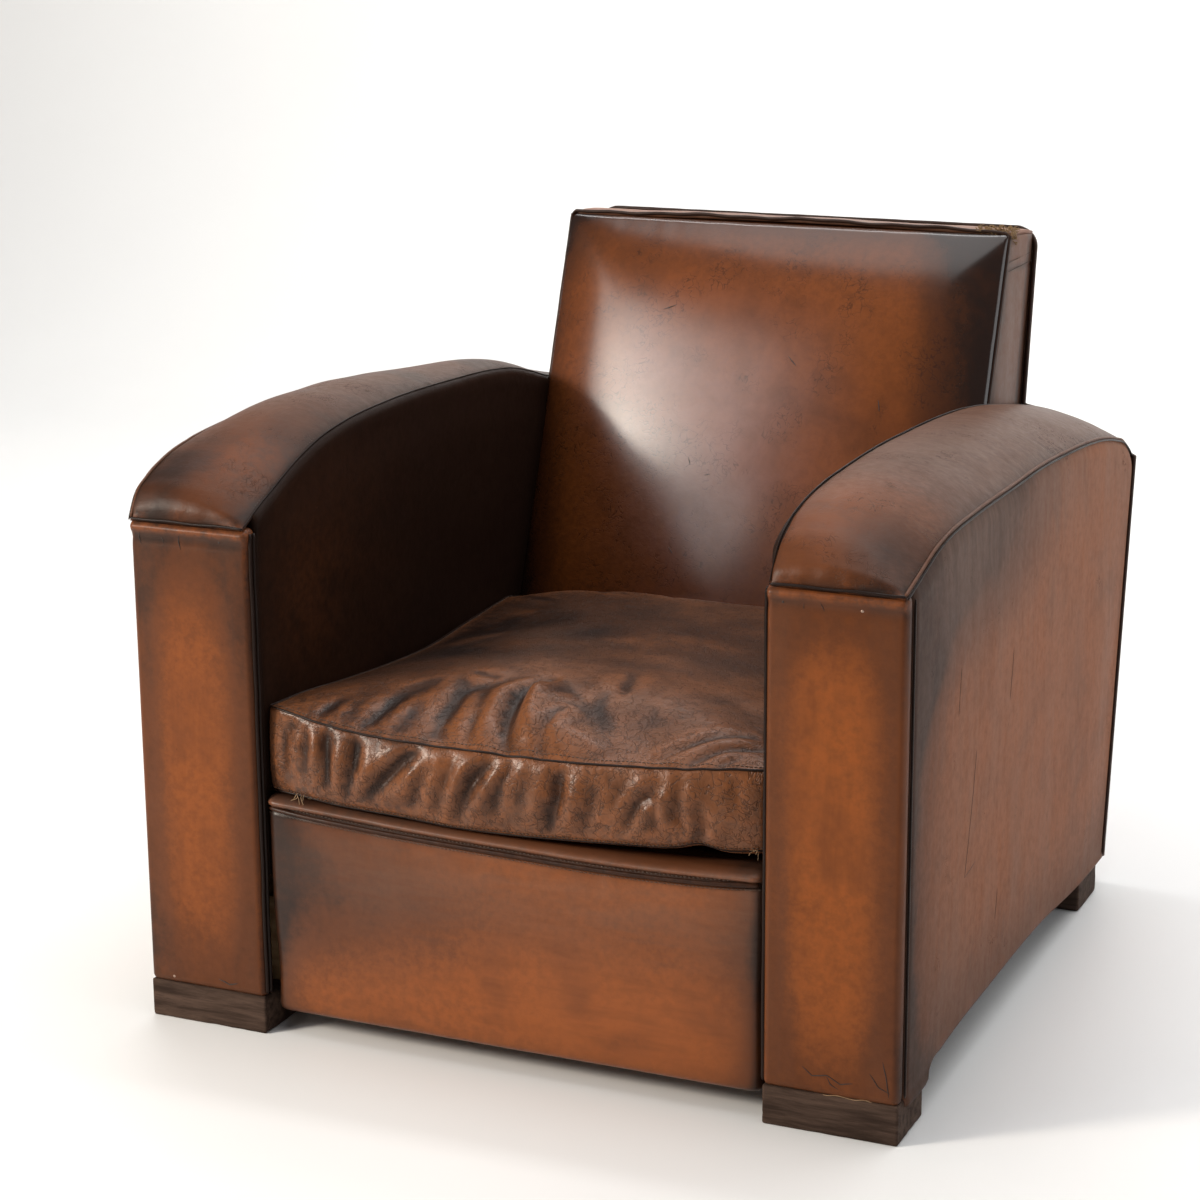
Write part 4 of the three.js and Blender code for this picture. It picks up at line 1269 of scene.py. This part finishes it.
def cushion_shape(u, v, w):
    """The pressed and creased case of the seat cushion, at fractions across, back and up.

    Gives the position, the distance in from the border, and the height on the border with its full height.
    """
    side = 2 * u - 1
    half = CUSHION_HALF - 4 * np.sin(np.pi * v) ** 2 - 1.5
    x = half * side
    start = 9 + 13 * np.abs(side) ** 8 - 3 * (1 - side**2)
    end = CUSHION_DEPTH - 4 - 9 * np.abs(side) ** 6
    depth = lerp(start, end, v)
    run_side, run_front, run_rear = half - np.abs(x), depth - start, end - depth
    rim = np.minimum(np.minimum(run_side, run_front), run_rear)

    level = lerp(FRONT_SEAM(x), REAR_SEAM, ease(depth, 0, 380))
    seam = lerp(level, SIDE_SEAM(depth), np.abs(side) ** 5)
    hem = lerp(FRONT_HEM(x), CUSHION_LOW + 1.0, ease(depth, 10, 70))
    high = np.maximum(seam - hem, 1)

    flat = np.stack([x, depth], axis=1)
    spot = np.stack([x, depth, np.zeros_like(x)], axis=1)
    across = 1 - (1 - np.clip(run_side / 190, 0, 1)) ** 2.4
    along = 1 - (1 - np.clip(run_front / 105, 0, 1)) ** 2.2
    along *= 1 - (1 - np.clip(run_rear / 60, 0, 1)) ** 2.2
    crown = 30 * across * along
    crown += ease(rim, 0, 60) * 3.0 * rough(spot, 120, 2, 121)
    flap = ease(x + 0.18 * depth, -6, 18) * ease(148 - 0.95 * (x + 12) - 0.95 * depth, 0, 60)
    crown += 10.0 * flap * ease(run_front, 0, 28) * ease(150 - depth, 0, 60)
    for path, width, deep in TOP_CREASES:
        crown += stroke(flat, path, width, deep) * ease(rim, -6, 10)
    top = seam + crown

    z = lerp(hem, np.where(w > ON_TOP, top, seam), w)
    z = z + 4.0 * ease(w, 0.12, 0.0) * tuck(rim, 14) * (rim < 14)

    height = w * high
    border = rim < AT_RIM
    face = np.stack([x, hem + height], axis=1)
    bulge = 8.0 * np.sin(np.pi * np.clip(w, 0, 1)) ** 0.8
    edge_run = np.minimum(height, high - height)
    folds = np.zeros_like(x)
    for path, width, deep in BORDER_CREASES:
        folds += stroke(face, path, width, deep, 0.75)
    other = 2.0 * rough(np.stack([depth, x, z], axis=1), (34, 80, 40), 2, 134)
    on_front, on_rear, on_side = run_front < AT_RIM, run_rear < AT_RIM, run_side < AT_RIM
    folds = 0.74 * folds + 2.4 * rough(np.stack([x, z, depth], axis=1), (54, 36, 60), 2, 138)
    relief_out = np.where(on_front, folds, other) * ease(edge_run, -4, 12)
    out = (bulge + relief_out - 3.0 * tuck(height, 9)) * border
    depth = depth - out * on_front * (1 - 0.5 * np.abs(side) ** 7) + 0.3 * out * on_rear
    x = x + np.sign(x) * on_side * np.minimum(out * 0.25, ARM_IN - 3 - np.abs(x))
    return x, depth, z, rim, height, high


def point_values(mesh, key):
    """The position or normal of each point of a mesh, in metres."""
    values = np.empty(len(mesh.vertices) * 3)
    mesh.vertices.foreach_get(key, values)
    return values.reshape(-1, 3)


def settle_case(piece, hold, growth):
    """Lets the cushion's case buckle as real leather does: it has too much hide for its filling."""
    start = point_values(piece.data, "co")
    for name, weights in (("hold", hold), ("growth", growth)):
        group = piece.vertex_groups.new(name=name)
        levels = np.round(weights, 2)
        for level in np.unique(levels):
            group.add(np.nonzero(levels == level)[0].tolist(), float(level), "REPLACE")
    cloth = piece.modifiers.new("case", "CLOTH")
    hide = cloth.settings
    hide.quality = 5
    hide.mass = 0.5
    hide.tension_stiffness = hide.compression_stiffness = 30
    hide.shear_stiffness = 12
    hide.bending_stiffness = 0.5
    hide.use_pressure = True
    hide.uniform_pressure_force = 3.0
    hide.vertex_group_mass = "hold"
    hide.pin_stiffness = 0.35
    hide.vertex_group_shrink = "growth"
    hide.shrink_min, hide.shrink_max = 0.0, -CASE_GROWTH
    hide.effector_weights.gravity = 0
    cloth.collision_settings.use_collision = False
    cloth.point_cache.frame_end = SETTLE_FRAMES
    scene = bpy.context.scene
    for moment in range(1, SETTLE_FRAMES + 1):
        scene.frame_set(moment)
    settled = piece.evaluated_get(bpy.context.evaluated_depsgraph_get()).data
    shift = point_values(settled, "co") - start
    piece.modifiers.remove(cloth)
    scene.frame_set(1)
    reach = np.linalg.norm(shift, axis=1, keepdims=True)
    shift *= CASE_MOVE * np.tanh(reach / CASE_MOVE) / np.maximum(reach, 1e-9)
    piece.data.vertices.foreach_set("co", (start + shift).ravel())
    piece.data.update()


def build_cushion():
    """The loose seat cushion."""
    count = [round(size / CASE_STEP) + 1 for size in CASE_SIZE]
    unit, faces = lattice(*(np.linspace(0, 1, number) for number in count))
    u, v, w = unit.T
    x, depth, z, rim, height, high = cushion_shape(u, v, w)
    below = high - height
    points = to_frame(x, depth, z)
    spot = np.stack([x, depth, z], axis=1)
    on_top = w > ON_TOP
    on_border = 1 - on_top
    along_seams = 0.50 * np.exp(-below / 7) + 0.35 * np.exp(-height / 14)
    edge = np.where(on_top, 0.42 * np.exp(-rim / 16), along_seams)
    edge += 0.38 * on_top * ease(depth, 120, 420) + 0.26 + 0.25 * bump(z, 245, 10)
    edge += 0.40 * rough(spot, (74, 60, 40), 4, 147) + 0.56 * ease(x, 40, -260)
    edge -= 0.20 * ease(x, 60, 210) * on_border
    rub = (0.36 + 0.3 * ease(x, 60, 210)) * on_border * np.clip(0.2 + rough(spot, 34, 2, 141), 0, 1)
    rub += 0.5 * on_top * tuck(rim, 40) * np.clip(lumps(spot, 40, 142), 0, 1)
    veil = 0.09 * on_border + on_top * (0.02 + 0.10 * lumps(spot, (110, 60, 60), 145))
    wear = np.stack([edge, rub, veil], axis=1)
    piece = make_piece("loose_cushion", points, faces, material("cushion"), wear)
    underneath = w < 1 - ON_TOP
    seam_hold = np.maximum(tuck(below, 4), tuck(height, 4)) * (rim < AT_RIM)
    hold = np.where(on_top, 0.05 + 0.5 * tuck(rim, 3), 0.04 + 0.7 * seam_hold)
    hold = np.where(underneath, 1.0, hold)
    growth = np.where(on_top, 0.20 * ease(depth, 260, 40) * ease(x, -220, -20), 1.0)
    growth = np.where(underneath, 0.0, growth)
    settle_case(piece, hold, growth)
    settled = point_values(piece.data, "co") / MM
    fold_shade_and_wear(piece, settled, faces, wear)
    smooth = piece.modifiers.new("finer", "SUBSURF")
    smooth.levels = smooth.render_levels = 1
    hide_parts("seat_cushion")
    build_cushion_seams(unit, settled, count)


def fold_height(points, normals, faces, rounds):
    """How far each point stands out from its smoothed surroundings, in millimetres."""
    faces = np.asarray(faces)
    start, end = faces.ravel(), np.roll(faces, -1, axis=1).ravel()
    total = len(points)
    count = np.bincount(start, minlength=total)[:, None]
    calm = points
    for _ in range(rounds):
        sums = [np.bincount(start, weights=calm[end, axis], minlength=total) for axis in range(3)]
        calm = 0.5 * calm + 0.5 * np.stack(sums, axis=1) / count
    return ((points - calm) * normals).sum(axis=1)


def fold_shade_and_wear(piece, points, faces, wear):
    """Darkens the valleys of a creased piece and rubs its ridges."""
    normals = point_values(piece.data, "normal")
    small = fold_height(points, normals, faces, 8)
    broad = fold_height(points, normals, faces, 60)
    valley = np.clip(-small / 0.45, 0, 1) + 0.8 * np.clip(-broad / 2.4, 0, 1)
    ridge = np.clip(small / 0.40, 0, 1) + 0.5 * np.clip(broad / 2.2, 0, 1)
    # Valleys: painted shade with some darker hide. Ridges: rubbed lighter, with painted sheen in the haze.
    change = [0.22 * valley - 0.24 * ridge, 0.50 * ridge, 0.09 * ridge - 0.1 * valley]
    store_wear_and_light(piece.data.attributes["wear"], wear + np.stack(change, axis=1))


def closed_ring(unit, settled, across, back, level):
    """The settled points of a level ring of the cushion's lattice, in order round it.

    Across and back are how far the ring lies from the middle, and level is its height, as fractions.
    """
    near = 1e-6
    x, y = unit[:, 0] - 0.5, unit[:, 1] - 0.5
    at = np.abs(unit[:, 2] - level) < near
    edge = (np.abs(np.abs(x) - across) < near) | (np.abs(np.abs(y) - back) < near)
    inside = (np.abs(x) < across + near) & (np.abs(y) < back + near)
    chosen = np.nonzero(at & inside & edge)[0]
    turn = np.arctan2(y[chosen] / back, x[chosen] / across)
    path = settled[chosen[np.argsort(turn)]]
    return np.concatenate([path, path[:2]])


def build_cushion_seams(unit, settled, count):
    """The boxed seams of the cushion, with their stitches."""
    radius = welt_radius()
    middle = settled.mean(axis=0)
    step_x, step_y, step_z = (1 / (number - 1) for number in count)
    upper = closed_ring(unit, settled, 0.5, 0.5, 1.0)
    lower = closed_ring(unit, settled, 0.5, 0.5, 0.0)
    parts = [tube(resample(ring, 3.0), 0.42 * radius, 6, 31) for ring in (upper + 0.1, lower)]
    points, faces = merged(parts)
    make_piece("cushion_seams", points, faces, material("welt"), plain_wear(points, 1.0))

    row = closed_ring(unit, settled, 0.5 - step_x, 0.5 - step_y, 1.0)
    over = stitches(row + [0, 0, 0.2], [0, 0, 1.0], seed=33)
    belt = closed_ring(unit, settled, 0.5, 0.5, step_z)
    away = (belt - middle) * [1, 1, 0]
    under = stitches(belt + 0.3 * away / np.linalg.norm(away, axis=1, keepdims=True), away, seed=34)
    points, faces = merged([over, under])
    make_piece("cushion_stitches", points, faces, material("thread"))


def build_deck():
    """The stuffed deck under the cushion."""
    low, high = box_mm("seat_deck")
    size = high - low
    unit, faces = lattice(graded(size[0], 16, 4, 14), graded(size[1], 16, 4, 14), np.linspace(0, 1, 5))
    points = rounded(low + unit * size, low, high, (10, 10, 9))
    points[:, 2] += 1.5 * lumps(points, 60, 151) * (unit[:, 2] > 0.5) - 1.5 * (unit[:, 2] > 0.5)
    wear = plain_wear(points, 0.7, 0.0, 0.1)
    piece = make_piece("stuffed_deck", points, faces, material("panel"), wear)
    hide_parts("seat_deck")


def build_dust_cover():
    """Thin black cloth tacked under the chair, sagging a little between its tacks."""
    low, high = box_mm("dust_cover")
    size = high - low
    unit, faces = lattice(graded(size[0], 10, 5, 12), graded(size[1], 10, 5, 12), [0, 1])
    points = low + unit * size
    points[:, 2] = high[2] - 1.0 + unit[:, 2] * 0.8
    rim = (np.minimum(unit, 1 - unit) * size)[:, :2].min(axis=1)
    points[:, 2] -= 5.0 * ease(rim, 0, 200) + 1.2 * lumps(points, 70, 161) * ease(rim, 0, 40)
    piece = make_piece("under_cloth", points, faces, material("dust"))
    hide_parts("dust_cover")


# ---- damage ----------------------------------------------------------------------------------

# Each line is a path on its cover: back and up on the side, and across and up on the back and the facings.
SIDE_SCRATCHES = (
    [(209, 323), (201, 284), (190, 240), (180, 202)], [(180, 202), (198, 204), (216, 207)],
    [(330, 392), (322, 340)], [(152, 420), (147, 372)], [(300, 150), (296, 118)], [(88, 47), (92, 40)],
)
BACK_NICKS = (
    [(-62, 486), (-58, 477)], [(-40, 468), (-32, 470)], [(-72, 388), (-66, 381)], [(40, 600), (52, 590)],
    [(-120, 640), (-104, 646)], [(96, 430), (99, 418)], [(150, 560), (153, 548)],
)
LIP_CRACKS = (
    [(-386, 510), (-388, 505), (-385, 498)], [(-341, 511), (-343, 504), (-340, 497)],
    [(-362, 508), (-360, 502)], [(303, 509), (302, 503)], [(318, 511), (322, 503)],
)
HEM_TEARS = (
    [(306, 66), (316, 58), (330, 61), (344, 54), (356, 57)], [(330, 60), (334, 52), (342, 48)],
    [(372, 70), (380, 58), (392, 52)], [(384, 84), (388, 66), (390, 48)],
    [(-318, 52), (-306, 48), (-296, 51)],
)
# The tacks with the crack look are dark domes where the facings have tack holes: their dark is painted shade.
TACKS = ((357, 507, "steel"), (283, 508, "crack"), (-297, 508, "crack"), (-371, 47, "steel"))
TACK_SIDES = 14
TACK_PROFILE = ((0.0, 1.0), (0.25, 1.0), (0.6, 0.8), (0.9, 0.42), (1.0, 0.1))


def found_on(name, path, towards):
    """The points of a path, each moved in a direction until it lies on a piece."""
    mesh = bpy.data.objects[name].data
    corners = [tuple(vertex.co) for vertex in mesh.vertices]
    sides = [tuple(polygon.vertices) for polygon in mesh.polygons]
    tree = BVHTree.FromPolygons(corners, sides)
    way = Vector(towards).normalized()
    landed = []
    for spot in path:
        hit = tree.ray_cast(Vector(spot) * MM - way * RAY_START, way)[0]
        if hit is not None:
            landed.append(np.array(hit) / MM)
    return np.array(landed)


def cracks(lines, place, name, towards, radius, seed):
    """Thin dark cracks drawn on a piece. Place turns the two numbers of each point into a position."""
    parts = []
    for number, line in enumerate(lines):
        path = resample([place(*point) for point in line], 2.5)
        path = path + 0.5 * np.stack([lumps(path, 9, seed + number + axis) for axis in range(3)], axis=1)
        landed = found_on(name, path, towards)
        if len(landed) > 2:
            ends = np.minimum(np.arange(len(landed)), np.arange(len(landed))[::-1])
            thick = radius * (0.35 + 0.65 * np.clip(ends / 3, 0, 1))
            parts.append(tube(landed, thick, 6, seed + number))
    return parts


BACKWARD, INWARD = (0, 1, 0), (-1, 0, 0)
BESIDE, BEFORE_BACK = 410, 700


def beside_arm(depth, z):
    return BESIDE, FRONT_Y + depth, z


def before_arms(x, z):
    return x, FRONT_Y - 10, z


def before_back(x, z):
    return x, FRONT_Y + BEFORE_BACK, z


def build_cracks():
    """Scratches, nicks, cracks and torn hems."""
    side = cracks(SIDE_SCRATCHES, beside_arm, "arm_outside_right", INWARD, 0.32, 201)
    back = cracks(BACK_NICKS, before_back, "inside_back", BACKWARD, 0.7, 231)
    right = [line for line in LIP_CRACKS + HEM_TEARS if line[0][0] > 0]
    left = [line for line in LIP_CRACKS + HEM_TEARS if line[0][0] < 0]
    lips = cracks(right, before_arms, "arm_facing_right", BACKWARD, 0.55, 251)
    lips += cracks(left, before_arms, "arm_facing_left", BACKWARD, 0.75, 271)
    for name, parts in (("side_scratches", side), ("back_nicks", back), ("facing_cracks", lips)):
        points, faces = merged(parts)
        make_piece(name, points, faces, material("crack"))


def build_tacks():
    """Small domed tacks left in the facings."""
    angle = np.linspace(0, 2 * np.pi, TACK_SIDES, endpoint=False)
    around = np.stack([np.cos(angle), 0 * angle, np.sin(angle)], axis=1)
    for number, (x, z, look) in enumerate(TACKS):
        side = "right" if x > 0 else "left"
        seat = found_on(f"arm_facing_{side}", [before_arms(x, z)], BACKWARD)[0]
        radius = 2.1 if look == "steel" else 1.6
        profile = [(0.9 - 1.3 * lift, wide * radius) for lift, wide in TACK_PROFILE]
        points = np.concatenate([seat + wide * around + [0, back, 0] for back, wide in profile])
        faces = ring_faces(len(profile), TACK_SIDES)
        make_piece(f"tack_{number + 1}", points, faces, material(look))


def strands(seat, count, spread, length, lean, radius, seed):
    """Loose curling fibres that stand out of a place."""
    random = np.random.default_rng(seed)
    parts = []
    for _ in range(count):
        start = seat + spread * random.uniform(-1, 1, 3)
        way = np.asarray(lean) + random.normal(0, 0.75, 3)
        way /= np.linalg.norm(way)
        curl = np.cross(way, random.normal(0, 1, 3))
        curl /= np.linalg.norm(curl)
        t = np.linspace(0, 1, 9)[:, None]
        reach = length * random.uniform(0.5, 1.0)
        sway = 0.35 * np.sin(random.uniform(1.5, 4.0) * t) * curl
        path = start + reach * (t * way + sway - [0, 0, 0.35] * t**2)
        parts.append(tube(path, radius * random.uniform(0.7, 1.2), THREAD_SIDES, seed))
    return parts


def build_frays():
    """Stuffing at the worn corner of the back, and broken threads."""
    corner = np.array([BACK_HALF - 18.0, FRONT_Y + back_front(BACK_TOP) + 7, BACK_TOP + 2.5])
    edge = np.array([BACK_HALF - 1.0, FRONT_Y + back_front(BACK_TOP) + 12, BACK_TOP - 7])
    tuft = strands(corner, 190, np.array([22, 9, 1.5]), 8, (0.1, -0.1, 0.15), 0.42, 301)
    tuft += strands(edge, 70, np.array([1.5, 8, 7]), 6, (0.25, -0.2, 0.1), 0.4, 302)
    points, faces = merged(tuft)
    make_piece("stuffing_tuft", points, faces, material("fibre"))

    run = np.linspace(326, 374, 25)
    waves = to_frame(run, 2.2 + 0.3 * np.sin(run / 2.3), FOOT_TOP + 0.2 + 0.7 * np.sin(run / 4.1))
    threads = [tube(waves, 0.38, THREAD_SIDES, 303)]
    hem = [(x, FRONT_Y - 20, FRONT_HEM(x) + 4.0) for x in np.linspace(204, 254, 20)]
    hem = found_on("loose_cushion", hem, BACKWARD)
    threads.append(tube(hem, 0.45, THREAD_SIDES, 304))
    threads += strands(hem[-2], 6, np.array([4, 0.5, 1.5]), 8, (0, -0.6, 0.1), 0.3, 305)
    torn = found_on("loose_cushion", [(-222.0, FRONT_Y - 20, FRONT_HEM(-222) + 5)], BACKWARD)[0]
    threads += strands(torn, 9, np.array([8, 0.4, 1.0]), 9, (0.3, -0.5, -0.1), 0.35, 306)
    points, faces = merged(threads)
    make_piece("frayed_threads", points, faces, material("pale_thread"))


# ---- feet and frame --------------------------------------------------------------------------


def build_feet():
    """Square blocks of stained wood, rubbed and chipped along their edges."""
    for place in ("front", "rear"):
        for side, _ in SIDES:
            node = f"foot_{place}_{side}"
            low, high = box_mm(node)
            size = high - low
            cuts = [graded(length, 6, 1.2, coarse) for length, coarse in zip(size, (5, 5, 4))]
            unit, faces = lattice(*cuts)
            points = rounded(low + unit * size, low, high, 2.2)
            edges = np.sort(np.minimum(unit, 1 - unit) * size, axis=1)
            corner = tuck(edges[:, 1], 6)
            chips = np.clip(rough(points, 13, 3, 171) - 0.15, 0, 1) * corner * 2.2
            inward = (low + high) / 2 - points
            inward /= np.linalg.norm(inward, axis=1, keepdims=True)
            points = points + inward * chips[:, None]
            points[:, 2] = np.maximum(points[:, 2], 0)
            piece = make_piece(f"block_{place}_{side}", points, faces, material("foot"))
            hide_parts(node)


FRAME_LOOKS = (
    ("spring_cover", "hessian"), ("seat_spring", "steel"), ("webbing", "webbing"),
    ("post", "frame"), ("rail", "frame"), ("stile", "frame"), ("corner_block", "frame"),
)


def finish_frame():
    """Gives each hidden piece of the frame its own finish."""
    for name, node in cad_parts.items():
        for word, look in FRAME_LOOKS:
            if word in name:
                node.data.materials.clear()
                node.data.materials.append(material(look))
                break


# ---- studio ----------------------------------------------------------------------------------


FLOOR_END, FLOOR_BEND = 2.2, 1.0


def build_stage():
    """A pale floor that curves up into a pale wall behind the chair."""
    across = np.linspace(-6, 6, 9)
    wall = FLOOR_END + FLOOR_BEND
    run = [(-7.0, 0.0), (-3.0, 0.0), (FLOOR_END, 0.0)]
    for angle in np.linspace(0.1, math.pi / 2, 12):
        run.append((FLOOR_END + FLOOR_BEND * math.sin(angle), FLOOR_BEND * (1 - math.cos(angle))))
    run += [(wall, 2.5), (wall, 6.0)]
    points = [(x, y, z) for y, z in run for x in across]
    count = len(across)
    faces = [
        (row * count + i, row * count + i + 1, (row + 1) * count + i + 1, (row + 1) * count + i)
        for row in range(len(run) - 1) for i in range(count - 1)
    ]
    mesh = bpy.data.meshes.new("studio_floor")
    mesh.from_pydata(points, [], faces)
    mesh.polygons.foreach_set("use_smooth", [True] * len(mesh.polygons))
    floor = bpy.data.objects.new("studio_floor", mesh)
    bpy.context.scene.collection.objects.link(floor)
    paint, graph, shader = new_material("pale_floor")
    place = graph.place()
    tint = graph.noise(place, 1.3, 3.0)
    colour = graph.mix(tint, (0.80, 0.80, 0.795, 1.0), (0.84, 0.84, 0.835, 1.0))
    graph.feed(shader.inputs["Base Color"], colour)
    shader.inputs["Roughness"].default_value = 0.5
    mesh.materials.append(paint)


# Each light has its place, the point that it faces, its size, its colour and the property with its power.
LIGHTS = (
    ("window_left", (-2.35, -2.25, 1.75), (-0.1, 0.1, 0.45), (1.2, 1.6), (1.0, 0.985, 0.96), "window_power"),
    ("window_front", (-1.70, -2.5, 2.0), (0.0, 0.2, 0.5), (1.1, 1.3), (1.0, 0.96, 0.93), "front_power"),
    ("window_pane", (-2.25, -2.4, 1.62), (-0.1, 0.2, 0.55), (0.5, 0.7), (1.0, 0.90, 0.76), "pane_power"),
    ("overhead", (0.3, -0.2, 3.4), (0.0, 0.1, 0.0), (3.0, 3.0), (1.0, 1.0, 1.0), "overhead_power"),
    ("right_fill", (3.4, 0.2, 1.3), (0.4, 0.0, 0.3), (2.2, 2.0), (0.97, 0.98, 1.0), "fill_power"),
    ("wall_wash", (0.0, 1.2, 3.6), (0.0, 3.3, 1.2), (5.0, 1.0), (1.0, 1.0, 1.0), "wall_power"),
)


def add_area(name, place, target, size, colour, power):
    light = bpy.data.lights.new(name, "AREA")
    light.shape = "RECTANGLE"
    light.size, light.size_y = size
    light.energy = power
    light.color = colour
    lamp = bpy.data.objects.new(name, light)
    lamp.location = place
    lamp.rotation_euler = (Vector(target) - Vector(place)).to_track_quat("-Z", "Y").to_euler()
    bpy.context.scene.collection.objects.link(lamp)


def build_lights():
    look = bpy.context.scene.chair_stage
    for name, place, target, size, colour, power in LIGHTS:
        add_area(name, place, target, size, colour, getattr(look, power))
    world = bpy.data.worlds.new("studio_air")
    world.use_nodes = True
    background = world.node_tree.nodes["Background"]
    background.inputs["Color"].default_value = (0.96, 0.97, 1.0, 1.0)
    background.inputs["Strength"].default_value = look.air_strength
    bpy.context.scene.world = world
    bpy.context.scene.view_settings.view_transform = "Standard"


CAMERA_PLACE = (1.1415, -2.7838, 1.1790)
CAMERA_YAW, CAMERA_PITCH, CAMERA_ROLL = 0.416, 0.262, -0.007
CAMERA_LENS = 87.18


def build_camera():
    """A long lens in front of the chair's right corner, a little above it."""
    camera = bpy.data.cameras.new("camera")
    camera.lens = CAMERA_LENS
    camera.sensor_width = 36.0
    view = bpy.data.objects.new("camera", camera)
    turn = Matrix.Rotation(CAMERA_YAW, 4, "Z") @ Matrix.Rotation(math.pi / 2 - CAMERA_PITCH, 4, "X")
    view.matrix_world = Matrix.Translation(CAMERA_PLACE) @ turn @ Matrix.Rotation(CAMERA_ROLL, 4, "Z")
    bpy.context.scene.collection.objects.link(view)
    bpy.context.scene.camera = view


# ---- add-on ----------------------------------------------------------------------------------


def colour_property(name, description, default):
    return bpy.props.FloatVectorProperty(
        name=name, description=description, default=default, subtype="COLOR", size=3, min=0.0, max=1.0,
    )


def number_property(name, description, default, unit="NONE"):
    return bpy.props.FloatProperty(name=name, description=description, default=default, unit=unit)


class ChairLook(bpy.types.PropertyGroup):
    """The colours of the leathers"""

    leather_light: colour_property("Leather light", "Hide in the middle of a panel", (0.285, 0.075, 0.012))
    leather_brown: colour_property("Leather brown", "Hide between light and dark", (0.135, 0.038, 0.009))
    leather_dark: colour_property("Leather dark", "Hide along seams and edges", (0.012, 0.005, 0.003))
    # Leather haze is dry bloom together with painted sheen: the grey of the bright room glancing off the
    # hide.
    leather_bloom_and_sheen: colour_property("Leather haze", "Dry greyish bloom on the hide", (0.200, 0.112, 0.078))
    # Back haze is a painted reflection: the mauve of the bright room mirrored in the back's wax, put into its
    # colour.
    back_reflection: colour_property("Back haze", "Mauve bloom inside the back", (0.190, 0.080, 0.064))
    cushion_light: colour_property("Cushion light", "Rubbed hide of the cushion", (0.140, 0.050, 0.018))
    cushion_brown: colour_property("Cushion brown", "Plain hide of the cushion", (0.040, 0.0150, 0.0066))


class ChairSizes(bpy.types.PropertyGroup):
    """The sizes that may be changed"""

    welt_radius: number_property("Welt radius", "Half the thickness of the piping", 0.0027, "LENGTH")
    back_crown: number_property("Back crown", "How far the back swells beyond its welt", 0.030, "LENGTH")


class ChairStage(bpy.types.PropertyGroup):
    """The powers of the studio's lights"""

    window_power: number_property("Window", "Power of the left light", 26.0)
    front_power: number_property("Front", "Power of the broad front light", 16.0)
    pane_power: number_property("Pane", "Power of the small bright pane", 82.0)
    overhead_power: number_property("Overhead", "Power of the top light", 58.0)
    fill_power: number_property("Fill", "Power of the right light", 30.0)
    wall_power: number_property("Wall", "Power of the light on the wall", 125.0)
    air_strength: number_property("Air", "Strength of the light all round", 0.13)


def piece_operator(key, label, text, *steps):
    """An operator class that runs the given building steps."""

    def execute(self, context):
        for step in steps:
            step()
        return {"FINISHED"}

    members = {"bl_idname": f"club_chair.{key}", "bl_label": label, "__doc__": text, "execute": execute}
    return type(f"CLUBCHAIR_OT_{key}", (bpy.types.Operator,), members)


OPERATORS = (
    piece_operator(
        "materials", "Materials", "Builds the shader groups and materials", build_groups, build_materials,
    ),
    piece_operator(
        "arms", "Arms", "Builds both arms",
        build_arm_pads, build_arm_fronts, build_arm_sides, build_arm_insides,
    ),
    piece_operator("arm_welts", "Arm welts", "Builds the arm seams", build_arm_welts),
    piece_operator(
        "back", "Back", "Builds the inside back, border and outside cover",
        build_back_pad, build_back_border, build_outside_back,
    ),
    piece_operator("back_welts", "Back welts", "Builds the seams of the back", build_back_welts),
    piece_operator(
        "seat", "Seat", "Builds the apron, deck and under cloth", build_apron, build_deck, build_dust_cover,
    ),
    piece_operator("cushion", "Cushion", "Builds the loose cushion", build_cushion),
    piece_operator(
        "damage", "Damage", "Adds cracks, tacks and frayed threads", build_cracks, build_tacks, build_frays,
    ),
    piece_operator("feet", "Feet", "Builds the wooden feet", build_feet),
    piece_operator("frame", "Frame", "Finishes the hidden frame", finish_frame),
    piece_operator(
        "stage", "Stage", "Builds the floor, lights and camera", build_stage, build_lights, build_camera,
    ),
)


class CLUBCHAIR_PT_panel(bpy.types.Panel):
    """Lists the pieces of the chair and their sizes and colours"""

    bl_label = "Club Chair"
    bl_idname = "CLUBCHAIR_PT_panel"
    bl_space_type = "VIEW_3D"
    bl_region_type = "UI"
    bl_category = "Club Chair"

    def draw(self, context):
        for group in (context.scene.chair_look, context.scene.chair_sizes, context.scene.chair_stage):
            for key in group.__annotations__:
                self.layout.prop(group, key)
        for operator in OPERATORS:
            self.layout.operator(operator.bl_idname)


CLASSES = (ChairLook, ChairSizes, ChairStage) + OPERATORS + (CLUBCHAIR_PT_panel,)


def register():
    for some_class in CLASSES:
        bpy.utils.register_class(some_class)
    bpy.types.Scene.chair_look = bpy.props.PointerProperty(type=ChairLook)
    bpy.types.Scene.chair_sizes = bpy.props.PointerProperty(type=ChairSizes)
    bpy.types.Scene.chair_stage = bpy.props.PointerProperty(type=ChairStage)


def unregister():
    del bpy.types.Scene.chair_look
    del bpy.types.Scene.chair_sizes
    del bpy.types.Scene.chair_stage
    for some_class in reversed(CLASSES):
        bpy.utils.unregister_class(some_class)


def main():
    register()
    for operator in OPERATORS:
        group, key = operator.bl_idname.split(".")
        getattr(getattr(bpy.ops, group), key)()


if __name__ == "__main__":
    main()
